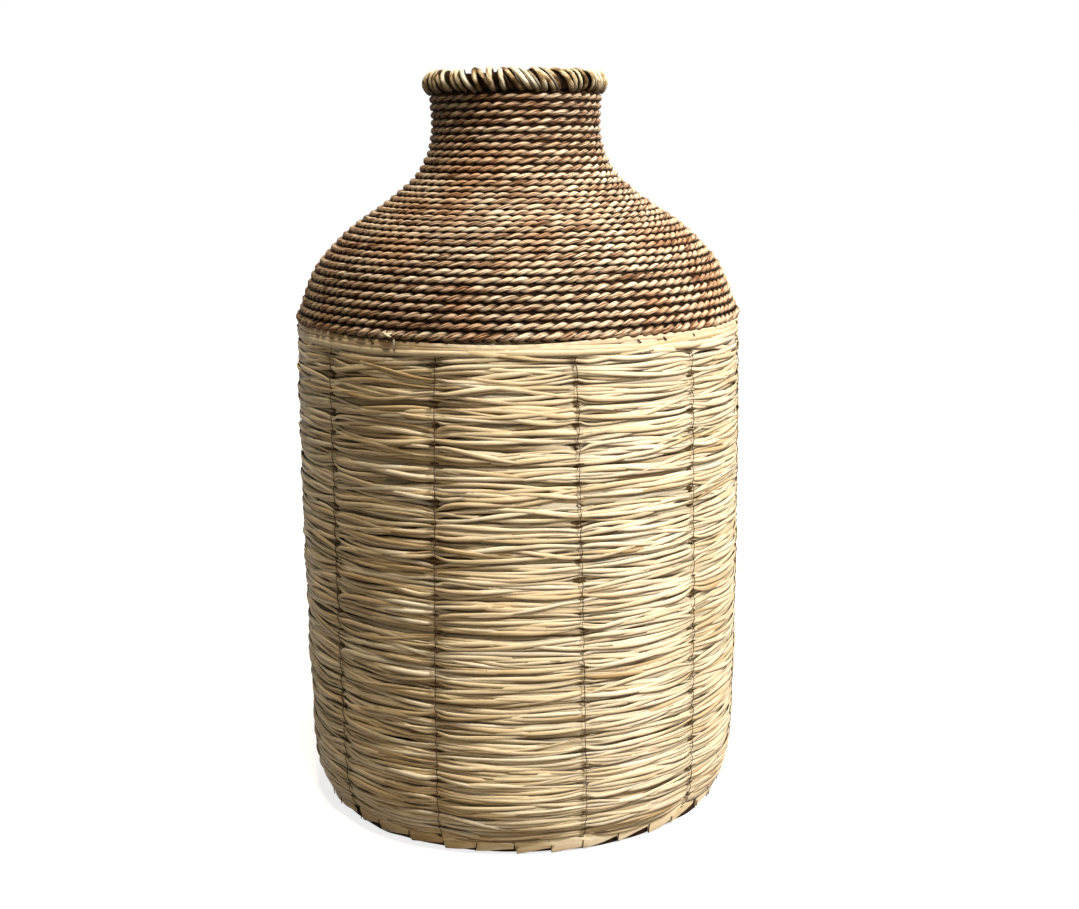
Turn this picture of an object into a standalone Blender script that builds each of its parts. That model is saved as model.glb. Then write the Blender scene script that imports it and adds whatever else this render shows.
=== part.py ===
# Floor vase: a wire frame with a straw body, a wound rope shoulder and neck, and a lashed rim.
# Metres, +Z up. The origin is the middle of the base, on the floor, and -Y is the front.

import math

import bmesh
import bpy
import numpy as np

# Clearances
SEAT_GAP = 0.0003
TURN_GAP = 0.0006

# Wire frame
RIB_COUNT = 11
FIRST_COLUMN_DEGREES = -52.3
RIB_DIAMETER = 0.004
HOOP_DIAMETER = 0.004
BODY_HEIGHT = 0.396
BODY_RADIUS = 0.1726
SHOULDER_HEIGHT = 0.124
NECK_HEIGHT = 0.0533
NECK_RADIUS = 0.0604

# Base
BASE_HOOP_DIAMETER = 0.006
BASE_HOOP_INSET = 0.0121
BASE_HOOP_RADIUS = BODY_RADIUS - BASE_HOOP_INSET
BASE_BAR_DIAMETER = 0.005
FLOOR_THICKNESS = 0.006
FLOOR_EDGE_ROUNDING = 0.0015

# Straw wall and hem
WALL_THICKNESS = 0.0052
BUNDLE_BULGE = 0.0018
LOWEST_BUNDLE_HEIGHT = 0.0124
HIGHEST_BUNDLE_HEIGHT = 0.0148
HEM_LIFT = 0.0035
HEM_FOOT_THICKNESS = 0.0045
THREAD_DIAMETER = 0.0015

# Ropes
BELT_ROPE_DIAMETER = 0.0085
SHOULDER_ROPE_DIAMETER = 0.006
NECK_ROPE_DIAMETER = 0.0054
MOST_LOOPS = 24

# Rim
RIM_OVERHANG = 0.0038
RIM_RADIUS = NECK_RADIUS + RIM_OVERHANG
RIM_CORE_DIAMETER = 0.0106
LASHING_THICKNESS = 0.004
LASHING_OPEN_FROM_DEGREES = -138
LASHING_OPEN_TO_DEGREES = -66

# Where the frame's outline runs: height share and radius share of the body,
# height share and inward share of the shoulder, height share and radius share of the neck.
BODY_OUTLINE_SHARES = (
    (0.036, 0.954),
    (0.093, 0.987),
    (0.275, 1.0),
    (0.505, 1.006),
    (0.735, 1.004),
    (0.92, 1.0),
    (1.0, 0.989),
)
SHOULDER_OUTLINE_SHARES = (
    (0.097, 0.034),
    (0.298, 0.123),
    (0.427, 0.237),
    (0.565, 0.401),
    (0.71, 0.634),
    (0.871, 0.848),
    (1.0, 0.94),
)
NECK_OUTLINE_SHARES = (
    (0.283, 1.033),
    (0.566, 1.0),
    (1.0, 1.017),
)

# Facets
LOOP_POINTS = 2 * RIB_COUNT
RING_SEGMENTS = 3 * RIB_COUNT
CORE_SIDES = 6
BASE_HOOP_SIDES = 8
BAR_SIDE_STEPS = 2
TUBE_SIDE_STEPS = 1
THREAD_SIDE_STEPS = 0
LASHING_STEPS = 7
SMOOTH_BELOW_DEGREES = 50

# Each turn of rope runs level, and drops to the next one in a few steps at the back, where the ends lie.
# The belt rope's joint lies left of the front.
DROP_STEPS = 4
WINDING_START_COLUMN = 8
BELT_JOINT_COLUMN_SHARE = 0.5


def clear_scene():
    for old in list(bpy.data.objects):
        bpy.data.objects.remove(old)


def material(name, colour, roughness, metallic=0.0):
    made = bpy.data.materials.new(name)
    made.use_nodes = True
    shader = made.node_tree.nodes["Principled BSDF"]
    shader.inputs["Base Color"].default_value = (*colour, 1.0)
    shader.inputs["Roughness"].default_value = roughness
    shader.inputs["Metallic"].default_value = metallic
    return made


# Outlines are lists of (radius, height) points in the plane of one rib.


def frame_outline():
    """The line that each rib's centre follows, from its foot on the base hoop up to the rim hoop."""
    foot_height = BASE_HOOP_DIAMETER + SEAT_GAP
    points = [(BASE_HOOP_RADIUS, foot_height), (BASE_HOOP_RADIUS, foot_height + RIB_DIAMETER / 2)]
    for height_share, radius_share in BODY_OUTLINE_SHARES:
        points.append((BODY_RADIUS * radius_share, BODY_HEIGHT * height_share))
    inward = BODY_RADIUS - NECK_RADIUS
    for height_share, inward_share in SHOULDER_OUTLINE_SHARES:
        points.append((BODY_RADIUS - inward * inward_share, BODY_HEIGHT + SHOULDER_HEIGHT * height_share))
    neck_foot = BODY_HEIGHT + SHOULDER_HEIGHT
    for height_share, radius_share in NECK_OUTLINE_SHARES:
        points.append((NECK_RADIUS * radius_share, neck_foot + NECK_HEIGHT * height_share))
    return points


HEM_INDEX = 2
MID_INDEX = 5
BELT_INDEX = 1 + len(BODY_OUTLINE_SHARES)
NECK_INDEX = BELT_INDEX + len(SHOULDER_OUTLINE_SHARES)


def outward_normal(start, end):
    run, rise = end[0] - start[0], end[1] - start[1]
    length = math.hypot(run, rise)
    return rise / length, -run / length


def offset_outline(outline, distance):
    """The outline moved outward by a distance, with mitred corners."""
    normals = [outward_normal(a, b) for a, b in zip(outline, outline[1:])]
    before = [normals[0]] + normals
    after = normals + [normals[-1]]
    moved = []
    for (radius, height), one, other in zip(outline, before, after):
        across, up = one[0] + other[0], one[1] + other[1]
        stretch = 2 * distance / (across * across + up * up)
        moved.append((radius + across * stretch, height + up * stretch))
    return moved


def lengths_along(outline):
    lengths = [0.0]
    for a, b in zip(outline, outline[1:]):
        lengths.append(lengths[-1] + math.dist(a, b))
    return lengths


def point_at(outline, length):
    """The point at a length along the outline, which runs straight on past its ends."""
    lengths = lengths_along(outline)
    index = 0
    while index < len(lengths) - 2 and lengths[index + 1] < length:
        index += 1
    share = (length - lengths[index]) / (lengths[index + 1] - lengths[index])
    (r0, z0), (r1, z1) = outline[index], outline[index + 1]
    return r0 + (r1 - r0) * share, z0 + (z1 - z0) * share


def stretch_between(outline, start, end):
    """The outline's points from one length along it to another, with exact ends."""
    inner = [p for p, l in zip(outline, lengths_along(outline)) if start < l < end]
    return [point_at(outline, start)] + inner + [point_at(outline, end)]


FRAME = frame_outline()
WALL_INSIDE = offset_outline(FRAME, RIB_DIAMETER / 2 + SEAT_GAP)
WALL_OUTSIDE = offset_outline(FRAME, RIB_DIAMETER / 2 + SEAT_GAP + WALL_THICKNESS)


def column_angle(column):
    """A stitch column's angle about +Z. The front is -Y, and columns count on towards +X."""
    return math.radians(FIRST_COLUMN_DEGREES - 90 + column * 360 / RIB_COUNT)


def placed(radius, height, angle):
    return radius * math.cos(angle), radius * math.sin(angle), height


def add_object(name, data, finish):
    data.materials.append(finish)
    made = bpy.data.objects.new(name, data)
    bpy.context.collection.objects.link(made)
    return made


def tube_data(name, points, diameter, side_steps, closed=False):
    """A round bar or rope along a run of points, with capped ends unless it closes on itself."""
    curve = bpy.data.curves.new(name, "CURVE")
    curve.dimensions = "3D"
    curve.bevel_depth = diameter / 2
    curve.bevel_resolution = side_steps
    curve.use_fill_caps = not closed
    spline = curve.splines.new("POLY")
    spline.points.add(len(points) - 1)
    for knot, point in zip(spline.points, points):
        knot.co = (*point, 1.0)
    spline.use_cyclic_u = closed
    spline.use_smooth = True
    return curve


def shell_data(name, rings):
    """A closed skin through rings of points, in which the last ring joins the first."""
    work = bmesh.new()
    rows = [[work.verts.new(point) for point in ring] for ring in rings]
    for row, following in zip(rows, rows[1:] + rows[:1]):
        for i in range(len(row)):
            j = (i + 1) % len(row)
            work.faces.new((row[i], row[j], following[j], following[i]))
    bmesh.ops.recalc_face_normals(work, faces=work.faces)
    mesh = bpy.data.meshes.new(name)
    work.to_mesh(mesh)
    work.free()
    mesh.shade_smooth()
    mesh.set_sharp_from_angle(angle=math.radians(SMOOTH_BELOW_DEGREES))
    return mesh


def turned_rings(section):
    """A section of (radius, height) points turned once round, with corners on the stitch columns."""
    angles = [column_angle(i * RIB_COUNT / RING_SEGMENTS) for i in range(RING_SEGMENTS)]
    return [[placed(radius, height, angle) for angle in angles] for radius, height in section]


def polygon_section(radius, height, across_flats, sides):
    """A regular polygon with a flat side down, as the section of a bar bent into a hoop."""
    corner = across_flats / 2 / math.cos(math.pi / sides)
    turns = [2 * math.pi * (i + 0.5) / sides - math.pi / 2 for i in range(sides)]
    return [(radius + corner * math.cos(t), height + corner * math.sin(t)) for t in turns]


# Wire frame


def add_ribs(steel):
    points = [(radius, 0.0, height) for radius, height in FRAME]
    rib = tube_data("frame_rib", points, RIB_DIAMETER, TUBE_SIDE_STEPS)
    rib.materials.append(steel)
    for column in range(RIB_COUNT):
        made = bpy.data.objects.new(f"frame_rib_{column + 1:02d}", rib)
        made.rotation_euler.z = column_angle(column)
        bpy.context.collection.objects.link(made)


def hoop_points(radius, height):
    angles = [column_angle(i * RIB_COUNT / LOOP_POINTS) for i in range(LOOP_POINTS)]
    return [placed(radius, height, angle) for angle in angles]


def add_inner_hoops(steel):
    """Hoops that lie against the inner side of the ribs."""
    line = offset_outline(FRAME, -(RIB_DIAMETER / 2 + SEAT_GAP + HOOP_DIAMETER / 2))
    for name, index in (("mid_hoop", MID_INDEX), ("belt_hoop", BELT_INDEX), ("neck_hoop", NECK_INDEX)):
        points = hoop_points(*line[index])
        add_object(name, tube_data(name, points, HOOP_DIAMETER, TUBE_SIDE_STEPS, closed=True), steel)


def rim_hoop_place():
    radius, rib_top = FRAME[-1]
    return radius, rib_top + SEAT_GAP + HOOP_DIAMETER / 2


def add_rim_hoop(steel):
    points = hoop_points(*rim_hoop_place())
    add_object("rim_hoop", tube_data("rim_hoop", points, HOOP_DIAMETER, TUBE_SIDE_STEPS, closed=True), steel)


def add_base_hoop(steel):
    section = polygon_section(
        BASE_HOOP_RADIUS, BASE_HOOP_DIAMETER / 2, BASE_HOOP_DIAMETER, BASE_HOOP_SIDES
    )
    add_object("base_hoop", shell_data("base_hoop", turned_rings(section)), steel)


def add_base_bars(steel):
    """A cross inside the base hoop: one whole bar, and two half bars that butt against it."""
    height = BASE_HOOP_DIAMETER / 2
    flat_to_flat = (BASE_HOOP_RADIUS - BASE_HOOP_DIAMETER / 2) * math.cos(math.pi / RING_SEGMENTS)
    reach = flat_to_flat - SEAT_GAP
    butt = BASE_BAR_DIAMETER / 2 + SEAT_GAP
    runs = {
        "base_bar_whole": ((-reach, 0.0, height), (reach, 0.0, height)),
        "base_bar_front": ((0.0, -butt, height), (0.0, -reach, height)),
        "base_bar_back": ((0.0, butt, height), (0.0, reach, height)),
    }
    for name, points in runs.items():
        add_object(name, tube_data(name, points, BASE_BAR_DIAMETER, BAR_SIDE_STEPS), steel)


def add_base_floor(fibre):
    """The disc that closes the bottom, lying on the cross inside the base hoop."""
    underside = (BASE_HOOP_DIAMETER + BASE_BAR_DIAMETER) / 2 + SEAT_GAP
    work = bmesh.new()
    bmesh.ops.create_cone(
        work,
        cap_ends=True,
        segments=RING_SEGMENTS,
        radius1=BASE_HOOP_RADIUS - BASE_HOOP_DIAMETER / 2,
        radius2=BASE_HOOP_RADIUS - BASE_HOOP_DIAMETER / 2,
        depth=FLOOR_THICKNESS,
    )
    mesh = bpy.data.meshes.new("base_floor")
    work.to_mesh(mesh)
    work.free()
    made = add_object("base_floor", mesh, fibre)
    made.location.z = underside + FLOOR_THICKNESS / 2
    made.rotation_euler.z = column_angle(0)
    rounding = made.modifiers.new("edge rounding", "BEVEL")
    rounding.width = FLOOR_EDGE_ROUNDING
    rounding.segments = 1
    mesh.shade_smooth()
    mesh.set_sharp_from_angle(angle=math.radians(SMOOTH_BELOW_DEGREES))


# Straw wall


def bundle_heights(length):
    """The bundles' heights from the lowest up, which grow evenly and fill the wall's length."""
    mean = (LOWEST_BUNDLE_HEIGHT + HIGHEST_BUNDLE_HEIGHT) / 2
    count = max(2, round(length / mean))
    grow = HIGHEST_BUNDLE_HEIGHT - LOWEST_BUNDLE_HEIGHT
    heights = [LOWEST_BUNDLE_HEIGHT + grow * i / (count - 1) for i in range(count)]
    fit = length / sum(heights)
    return [height * fit for height in heights]


def straw_ring(outline, length, bulge):
    """One ring of the wall's outer face, pinched at the stitch columns and full between them."""
    (r0, z0) = point_at(outline, length)
    (r1, z1) = point_at(outline, length + WALL_THICKNESS)
    across, up = outward_normal((r0, z0), (r1, z1))
    per_bay = RING_SEGMENTS // RIB_COUNT
    ring = []
    for i in range(RING_SEGMENTS):
        push = 0.0 if i % per_bay == 0 else bulge
        ring.append(placed(r0 + across * push, z0 + up * push, column_angle(i / per_bay)))
    return ring


def add_straw_wall(straw):
    start = lengths_along(WALL_OUTSIDE)[HEM_INDEX] + SEAT_GAP
    end = lengths_along(WALL_OUTSIDE)[BELT_INDEX]
    rings = [straw_ring(WALL_OUTSIDE, start, 0.0)]
    reached = start
    for height in bundle_heights(end - start):
        rings.append(straw_ring(WALL_OUTSIDE, reached + height / 2, BUNDLE_BULGE))
        reached += height
        rings.append(straw_ring(WALL_OUTSIDE, reached, 0.0))
    inside_start = lengths_along(WALL_INSIDE)[HEM_INDEX] + SEAT_GAP
    inside_end = lengths_along(WALL_INSIDE)[BELT_INDEX]
    inside = stretch_between(WALL_INSIDE, inside_start, inside_end)
    rings += turned_rings(reversed(inside))
    add_object("straw_wall", shell_data("straw_wall", rings), straw)


def add_straw_hem(straw):
    """The strips lapped round the bottom edge, which cover the lowest bundle and stop short of the floor."""
    foot = BASE_HOOP_RADIUS + BASE_HOOP_DIAMETER / 2 + SEAT_GAP
    section = [
        (foot, HEM_LIFT),
        (foot + HEM_FOOT_THICKNESS, HEM_LIFT),
        WALL_OUTSIDE[HEM_INDEX],
        WALL_INSIDE[HEM_INDEX],
        (foot, WALL_INSIDE[1][1]),
    ]
    add_object("straw_hem", shell_data("straw_hem", turned_rings(section)), straw)


def add_binding_cords(thread):
    """The stitching that ties each column of bundles to its rib, seen as an upright cord in the pinch."""
    line = offset_outline(WALL_OUTSIDE, SEAT_GAP + THREAD_DIAMETER / 2)
    lengths = lengths_along(line)
    run = stretch_between(line, lengths[HEM_INDEX] + SEAT_GAP, lengths[BELT_INDEX] - SEAT_GAP)
    cord = tube_data("binding_cord", [(r, 0.0, z) for r, z in run], THREAD_DIAMETER, THREAD_SIDE_STEPS)
    cord.materials.append(thread)
    for column in range(RIB_COUNT):
        made = bpy.data.objects.new(f"binding_cord_{column + 1:02d}", cord)
        made.rotation_euler.z = column_angle(column)
        bpy.context.collection.objects.link(made)


# Ropes


def rope_line(diameter):
    return offset_outline(FRAME, RIB_DIAMETER / 2 + SEAT_GAP + diameter / 2)


def winding_points(line, top, bottom, loops):
    """One unbroken run of turns, level but for its drops, counter-clockwise downwards seen from above."""
    pitch = (top - bottom) / (loops - 1)
    points = []
    for step in range(loops * LOOP_POINTS - DROP_STEPS):
        turn, along = divmod(step, LOOP_POINTS)
        dropped = max(0, along - (LOOP_POINTS - DROP_STEPS - 1)) / (DROP_STEPS + 1)
        radius, height = point_at(line, top - pitch * (turn + dropped))
        column = WINDING_START_COLUMN + step * RIB_COUNT / LOOP_POINTS
        points.append(placed(radius, height, column_angle(column)))
    return points


def least_gap(points, diameter):
    """The least gap between one turn and the next, measured on points and midpoints."""
    ends = np.array(points)
    samples = np.empty((2 * len(ends) - 1, 3))
    samples[0::2] = ends
    samples[1::2] = (ends[1:] + ends[:-1]) / 2
    nearest = math.inf
    for i in range(len(samples) - LOOP_POINTS):
        apart = np.linalg.norm(samples[i + LOOP_POINTS :] - samples[i], axis=1)
        nearest = min(nearest, apart.min())
    return nearest - diameter


def add_winding(name, diameter, top, bottom, rope):
    """Turns of rope whose centres fill the line from one length to another, as many as fit."""
    loops = min(MOST_LOOPS, 1 + int((top - bottom) / (diameter + TURN_GAP)))
    points = winding_points(rope_line(diameter), top, bottom, loops)
    add_object(name, tube_data(name, points, diameter, TUBE_SIDE_STEPS), rope)
    print(f"{name}: {loops} loops, least gap {least_gap(points, diameter) * 1000:.2f} mm")


def add_shoulder_rope(rope):
    lengths = lengths_along(rope_line(SHOULDER_ROPE_DIAMETER))
    bottom = lengths[BELT_INDEX] + BELT_ROPE_DIAMETER + TURN_GAP + SHOULDER_ROPE_DIAMETER / 2
    add_winding("shoulder_rope", SHOULDER_ROPE_DIAMETER, lengths[NECK_INDEX], bottom, rope)


def add_neck_rope(rope):
    lengths = lengths_along(rope_line(NECK_ROPE_DIAMETER))
    top = lengths[-1] - NECK_ROPE_DIAMETER / 2
    bottom = lengths[NECK_INDEX] + (SHOULDER_ROPE_DIAMETER + NECK_ROPE_DIAMETER) / 2 + TURN_GAP
    add_winding("neck_rope", NECK_ROPE_DIAMETER, top, bottom, rope)


def add_belt_rope(rope):
    """The thicker single turn where straw and rope meet, with its two ends face to face."""
    line = rope_line(BELT_ROPE_DIAMETER)
    radius, height = point_at(line, lengths_along(line)[BELT_INDEX] + SEAT_GAP + BELT_ROPE_DIAMETER / 2)
    apart = TURN_GAP / radius
    start = column_angle(BELT_JOINT_COLUMN_SHARE)
    turn = (2 * math.pi - apart) / LOOP_POINTS
    points = [placed(radius, height, start + apart / 2 + turn * i) for i in range(LOOP_POINTS + 1)]
    add_object("belt_rope", tube_data("belt_rope", points, BELT_ROPE_DIAMETER, TUBE_SIDE_STEPS), rope)


# Rim


def rim_centre():
    """The rim core rests on the rim hoop, a little outside it."""
    hoop_radius, hoop_height = rim_hoop_place()
    reach = (HOOP_DIAMETER + RIM_CORE_DIAMETER) / 2 + SEAT_GAP
    aside = RIM_RADIUS - hoop_radius
    return RIM_RADIUS, hoop_height + math.sqrt(reach * reach - aside * aside)


def add_rim_core(fibre):
    radius, height = rim_centre()
    across_flats = RIM_CORE_DIAMETER * math.cos(math.pi / CORE_SIDES)
    section = polygon_section(radius, height, across_flats, CORE_SIDES)
    add_object("rim_core", shell_data("rim_core", turned_rings(section)), fibre)


def add_rim_lashing(lashing):
    """The strands wrapped round the core, as one sleeve that stays open above the hoop and the neck."""
    radius, height = rim_centre()
    inner = RIM_CORE_DIAMETER / 2 + SEAT_GAP
    outer = inner + LASHING_THICKNESS
    first = math.radians(LASHING_OPEN_TO_DEGREES)
    last = math.radians(LASHING_OPEN_FROM_DEGREES) + 2 * math.pi
    turns = [first + (last - first) * i / LASHING_STEPS for i in range(LASHING_STEPS + 1)]
    facet = inner / math.cos((last - first) / LASHING_STEPS / 2)
    section = [(radius + outer * math.cos(t), height + outer * math.sin(t)) for t in turns]
    section += [(radius + facet * math.cos(t), height + facet * math.sin(t)) for t in reversed(turns)]
    add_object("rim_lashing", shell_data("rim_lashing", turned_rings(section)), lashing)


def build():
    clear_scene()
    steel = material("black steel", (0.02, 0.02, 0.02), 0.45, 1.0)
    straw = material("pale straw", (0.72, 0.6, 0.36), 0.7)
    rope = material("twisted fibre rope", (0.42, 0.24, 0.12), 0.85)
    lashing = material("rim lashing cord", (0.5, 0.36, 0.19), 0.85)
    fibre = material("fibre core", (0.45, 0.33, 0.18), 0.9)
    thread = material("dark thread", (0.08, 0.04, 0.02), 0.8)
    add_ribs(steel)
    add_inner_hoops(steel)
    add_rim_hoop(steel)
    add_base_hoop(steel)
    add_base_bars(steel)
    add_base_floor(fibre)
    add_straw_wall(straw)
    add_straw_hem(straw)
    add_binding_cords(thread)
    add_belt_rope(rope)
    add_shoulder_rope(rope)
    add_neck_rope(rope)
    add_rim_core(fibre)
    add_rim_lashing(lashing)


build()
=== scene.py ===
# The looks of a floor vase: stitched straw bundles on the body, twisted rope on the shoulder and neck,
# a lashed rim, and a black wire frame. Metres, +Z up, and -Y is the side that the photograph shows.

import math
from collections import namedtuple

import bpy
import numpy as np
from mathutils import Matrix, Vector


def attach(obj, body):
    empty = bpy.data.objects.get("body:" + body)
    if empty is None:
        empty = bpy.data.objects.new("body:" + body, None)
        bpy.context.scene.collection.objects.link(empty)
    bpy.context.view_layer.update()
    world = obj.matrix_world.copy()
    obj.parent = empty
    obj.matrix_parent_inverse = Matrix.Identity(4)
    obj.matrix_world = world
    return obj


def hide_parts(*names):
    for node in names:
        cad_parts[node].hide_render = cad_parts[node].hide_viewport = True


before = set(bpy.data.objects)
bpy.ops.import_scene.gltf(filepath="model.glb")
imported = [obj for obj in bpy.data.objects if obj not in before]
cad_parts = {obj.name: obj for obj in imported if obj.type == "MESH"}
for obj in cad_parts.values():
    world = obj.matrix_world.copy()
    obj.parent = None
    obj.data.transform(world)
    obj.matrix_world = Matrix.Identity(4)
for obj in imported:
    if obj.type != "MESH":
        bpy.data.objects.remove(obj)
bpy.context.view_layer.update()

# Sizes of the wire frame, as built
RIB_COUNT = 11
FIRST_COLUMN_DEGREES = -52.3
RIB_RADIUS = 0.002
SEAT_GAP = 0.0003
BODY_HEIGHT = 0.396
BODY_RADIUS = 0.1726
SHOULDER_HEIGHT = 0.124
NECK_HEIGHT = 0.0533
NECK_RADIUS = 0.0604
BASE_HOOP_DIAMETER = 0.006
BASE_HOOP_RADIUS = 0.1605
BODY_OUTLINE_SHARES = (
    (0.036, 0.954),
    (0.093, 0.987),
    (0.275, 1.0),
    (0.505, 1.006),
    (0.735, 1.004),
    (0.92, 1.0),
    (1.0, 0.989),
)
SHOULDER_OUTLINE_SHARES = (
    (0.097, 0.034),
    (0.298, 0.123),
    (0.427, 0.237),
    (0.565, 0.401),
    (0.71, 0.634),
    (0.871, 0.848),
    (1.0, 0.94),
)
NECK_OUTLINE_SHARES = (
    (0.283, 1.033),
    (0.566, 1.0),
    (1.0, 1.017),
)
HEM_INDEX = 2
BELT_INDEX = 1 + len(BODY_OUTLINE_SHARES)
NECK_INDEX = BELT_INDEX + len(SHOULDER_OUTLINE_SHARES)
CURVE_STEPS = 12
SLOPE_STEP = 0.002

# Directions
UPWARD = (0.0, 0.0, 1.0)
LEVEL_PART = (1.0, 1.0, 0.0)

# Ropes
BELT_ROPE_DIAMETER = 0.0085
SHOULDER_ROPE_DIAMETER = 0.006
SHOULDER_LOOPS = 24
SHOULDER_PARTS = 3
NECK_ROPE_DIAMETER = 0.0054
NECK_LOOPS = 8
BELT_LAY = 0.0205
SHOULDER_LAY = 0.0205
NECK_LAY = 0.022
TURN_GAP = 0.0006
TURN_POINTS = 66
DROP_SHARE = 0.2
THINNEST_END = 0.12
WINDING_START_COLUMN = 8
FILLER_DIAMETER = 0.004
STRAND_SIDES = 7
# A rope's thickness against the space that it fills, so that each turn presses on the next
WINDING_FULLNESS = 1.02
BELT_FULLNESS = 1.03
# A strand's thickness, and how far its middle lies from the rope's, as shares of the rope's diameter
STRAND_THICKNESS_SHARE = 0.59
STRAND_REACH_SHARE = 0.185
STRAND_SIZES = (0.82, 1.12)
LAY_DRIFT = 7.0

# Belt joint, with the gap on each side of it in radians
BELT_JOINT_COLUMN = 0.62
BELT_JOINT_GAP = 0.004
TIE_WIDTH = 0.0023
TIE_THICKNESS = 0.0021
# Each strand of the tie: aside at its start and end, up at its start and end, and out from the rope's middle
TIE_STRANDS = (
    (-0.0055, 0.0045, -0.001, 0.0012, 0.0044),
    (-0.003, 0.004, 0.002, -0.0012, 0.0048),
)
# Its cut end: down, out and size
TIE_END = ((0.002, 0.0030, 0.8), (0.0045, 0.0034, 0.8), (0.007, 0.0036, 0.7), (0.009, 0.0037, 0.4))
TIE_END_ASIDE = 0.006
TIE_END_START = 0.001
TIE_END_SWING = 0.0006
TIE_END_WAVES = 300

# Straw
LOWEST_BUNDLE_HEIGHT = 0.0124
HIGHEST_BUNDLE_HEIGHT = 0.0148
OUTER_STRAWS = 8
OUTER_WIDTH = 0.0039
OUTER_THICKNESS = 0.0015
OUTER_BASE = 0.0075
INNER_STRAWS = 3
INNER_WIDTH = 0.0066
INNER_THICKNESS = 0.0024
INNER_BASE = 0.0058
STRAW_SPACING = 0.006
STRAW_SIDES = 6
STRAW_SWELL = (0.76, 1.2)
OUTER_ROLL = 1.8
INNER_ROLL = 0.8
# How much the straws of each layer cross, bow and bulge
OUTER_RESTLESSNESS = 0.8
INNER_RESTLESSNESS = 0.3
STRAW_PUSH = 0.0012
STRAW_STRAY = 0.1
STRAW_BOW = 0.2
STRAW_BREADTHS = (0.85, 1.15)
THIN_STRAW_SIZE = 0.74
BULGE_SIZE = 0.5
BULGE_PLACES = (0.2, 0.8)
BULGE_SPREAD = 0.3
BULGE_OUT = 0.0014
MEAN_BULGE = 0.6
FOOT_DRAW = 0.0055
DRAWN_HEIGHT = 0.045
BACKING_OUT = 0.0042
BACKING_THICKNESS = 0.0012
BACKING_RIDGE = 0.0007
BACKING_BAY_STEPS = 6
PINCH_DEPTH = 0.0022
PINCH_FALL_SHARE = 0.06
PINCH_RISE_SHARE = 0.13
PINCH_LIFTS = (0.03, 0.3)
PINCHED_HEIGHTS = (0.54, 0.72)
# The shares of a straw's push and of its size that a pinch takes away
PINCH_CALM = 0.4
PINCH_SLIMMING = 0.28
BAY_SHARES = (0.0, 0.03, 0.08, 0.15, 0.25, 0.38, 0.5, 0.62, 0.75, 0.85, 0.92, 0.97)
TOP_STRAW_DROPS = (0.001, 0.0045, 0.0078)
TOP_STRAW_OUT = 0.0008
TOP_STRAW_WIDTH = 0.006
TOP_STRAW_WANDER = 0.0009
TOP_STRAW_ROLL = 0.6
ROW_WANDER = 0.0007
# How far each stitch column has wandered by its foot, in degrees, from the photograph and then made up
COLUMN_DRIFTS = (0.0, -2.6, 2.4, 2.6, 1.0, -1.4, 1.8, -0.8, 1.6, -1.8, 0.8)

# Thread
THREAD_DIAMETER = 0.0006
STITCH_WAVER = 0.0024
TICK_CHANCE = 0.85
TICK_HEIGHT_SHARE = 0.03
# The thread over one bundle: share of the way up, and out
STITCH_POINTS = ((0.1, -0.0014), (0.3, -0.0004), (0.46, 0.0003), (0.71, 0.0006), (0.96, -0.0002))
# The hook that it starts with: aside, up and out
HOOK_POINTS = ((-0.0034, 0.0016, -0.0008), (-0.0018, 0.0012, 0.0012), (-0.0002, 0.0014, 0.0014))
HOOK_SIZE = 1.2
# A slack bit of it: share of its reach, out and size
TICK_POINTS = (
    (-0.4, -0.0012, 1.0),
    (0.0, -0.0003, 2.6),
    (0.4, 0.0, 1.9),
    (0.8, -0.0002, 1.0),
    (1.0, -0.001, 0.5),
)
TICK_REACHES = (0.002, 0.0055)
TICK_SLOPES = (-0.0016, 0.0006)
TICK_TO_THE_RIGHT_CHANCE = 0.6
# A stitch out from under the belt rope: share of its reach, down and out
BELT_STITCH_POINTS = (
    (0.0, -0.001, -0.001),
    (0.2, 0.0012, 0.0021),
    (0.6, 0.0026, 0.0024),
    (1.0, 0.0036, -0.001),
)
BELT_STITCH_SIZE = 1.9
BELT_STITCH_REACHES = (0.0035, 0.0055)
# Where such stitches show, the first three as in the photograph
BELT_STITCH_DEGREES = (28.5, 36.0, 46.0, -37.0, 74.0, 102.0, 137.0, 171.0, 208.0, 239.0, 281.0)

# Hem
HEM_STRIPS = 37
HEM_RADIUS = 0.1679
HEM_TILT = 0.18
HEM_FOOT = 0.0012
HEM_CLIMB = 0.0066
HEM_CLIMB_SHARES = (0.5, 1.25)
HEM_LAP = 1.06
HEM_UNEVENNESS = 0.16
HEM_STRIP_WIDTH = 0.0128
HEM_STRIP_THICKNESS = 0.0014
HEM_STRIP_POINTS = 15
HEM_TAIL_OUT = 0.0012
HEM_TAIL_NARROWING = 0.6
HEM_TAIL_CURVE = 2.5
HEM_TICK_OUT = 0.0016
HEM_TICK_SIZE = 1.3
HEM_TICK_LEANS = (-0.001, 0.0035)
HEM_TICK_FEET = (0.0015, 0.004)
HEM_TICK_HEADS = (0.0065, 0.0095)
HEM_LINING_HEIGHT = 0.0078
HEM_LINING_WIDTH = 0.013
HEM_LINING_THICKNESS = 0.0012
HEM_LINING_STEPS = 132

# Base
COIL_PITCH = 0.006

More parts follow.
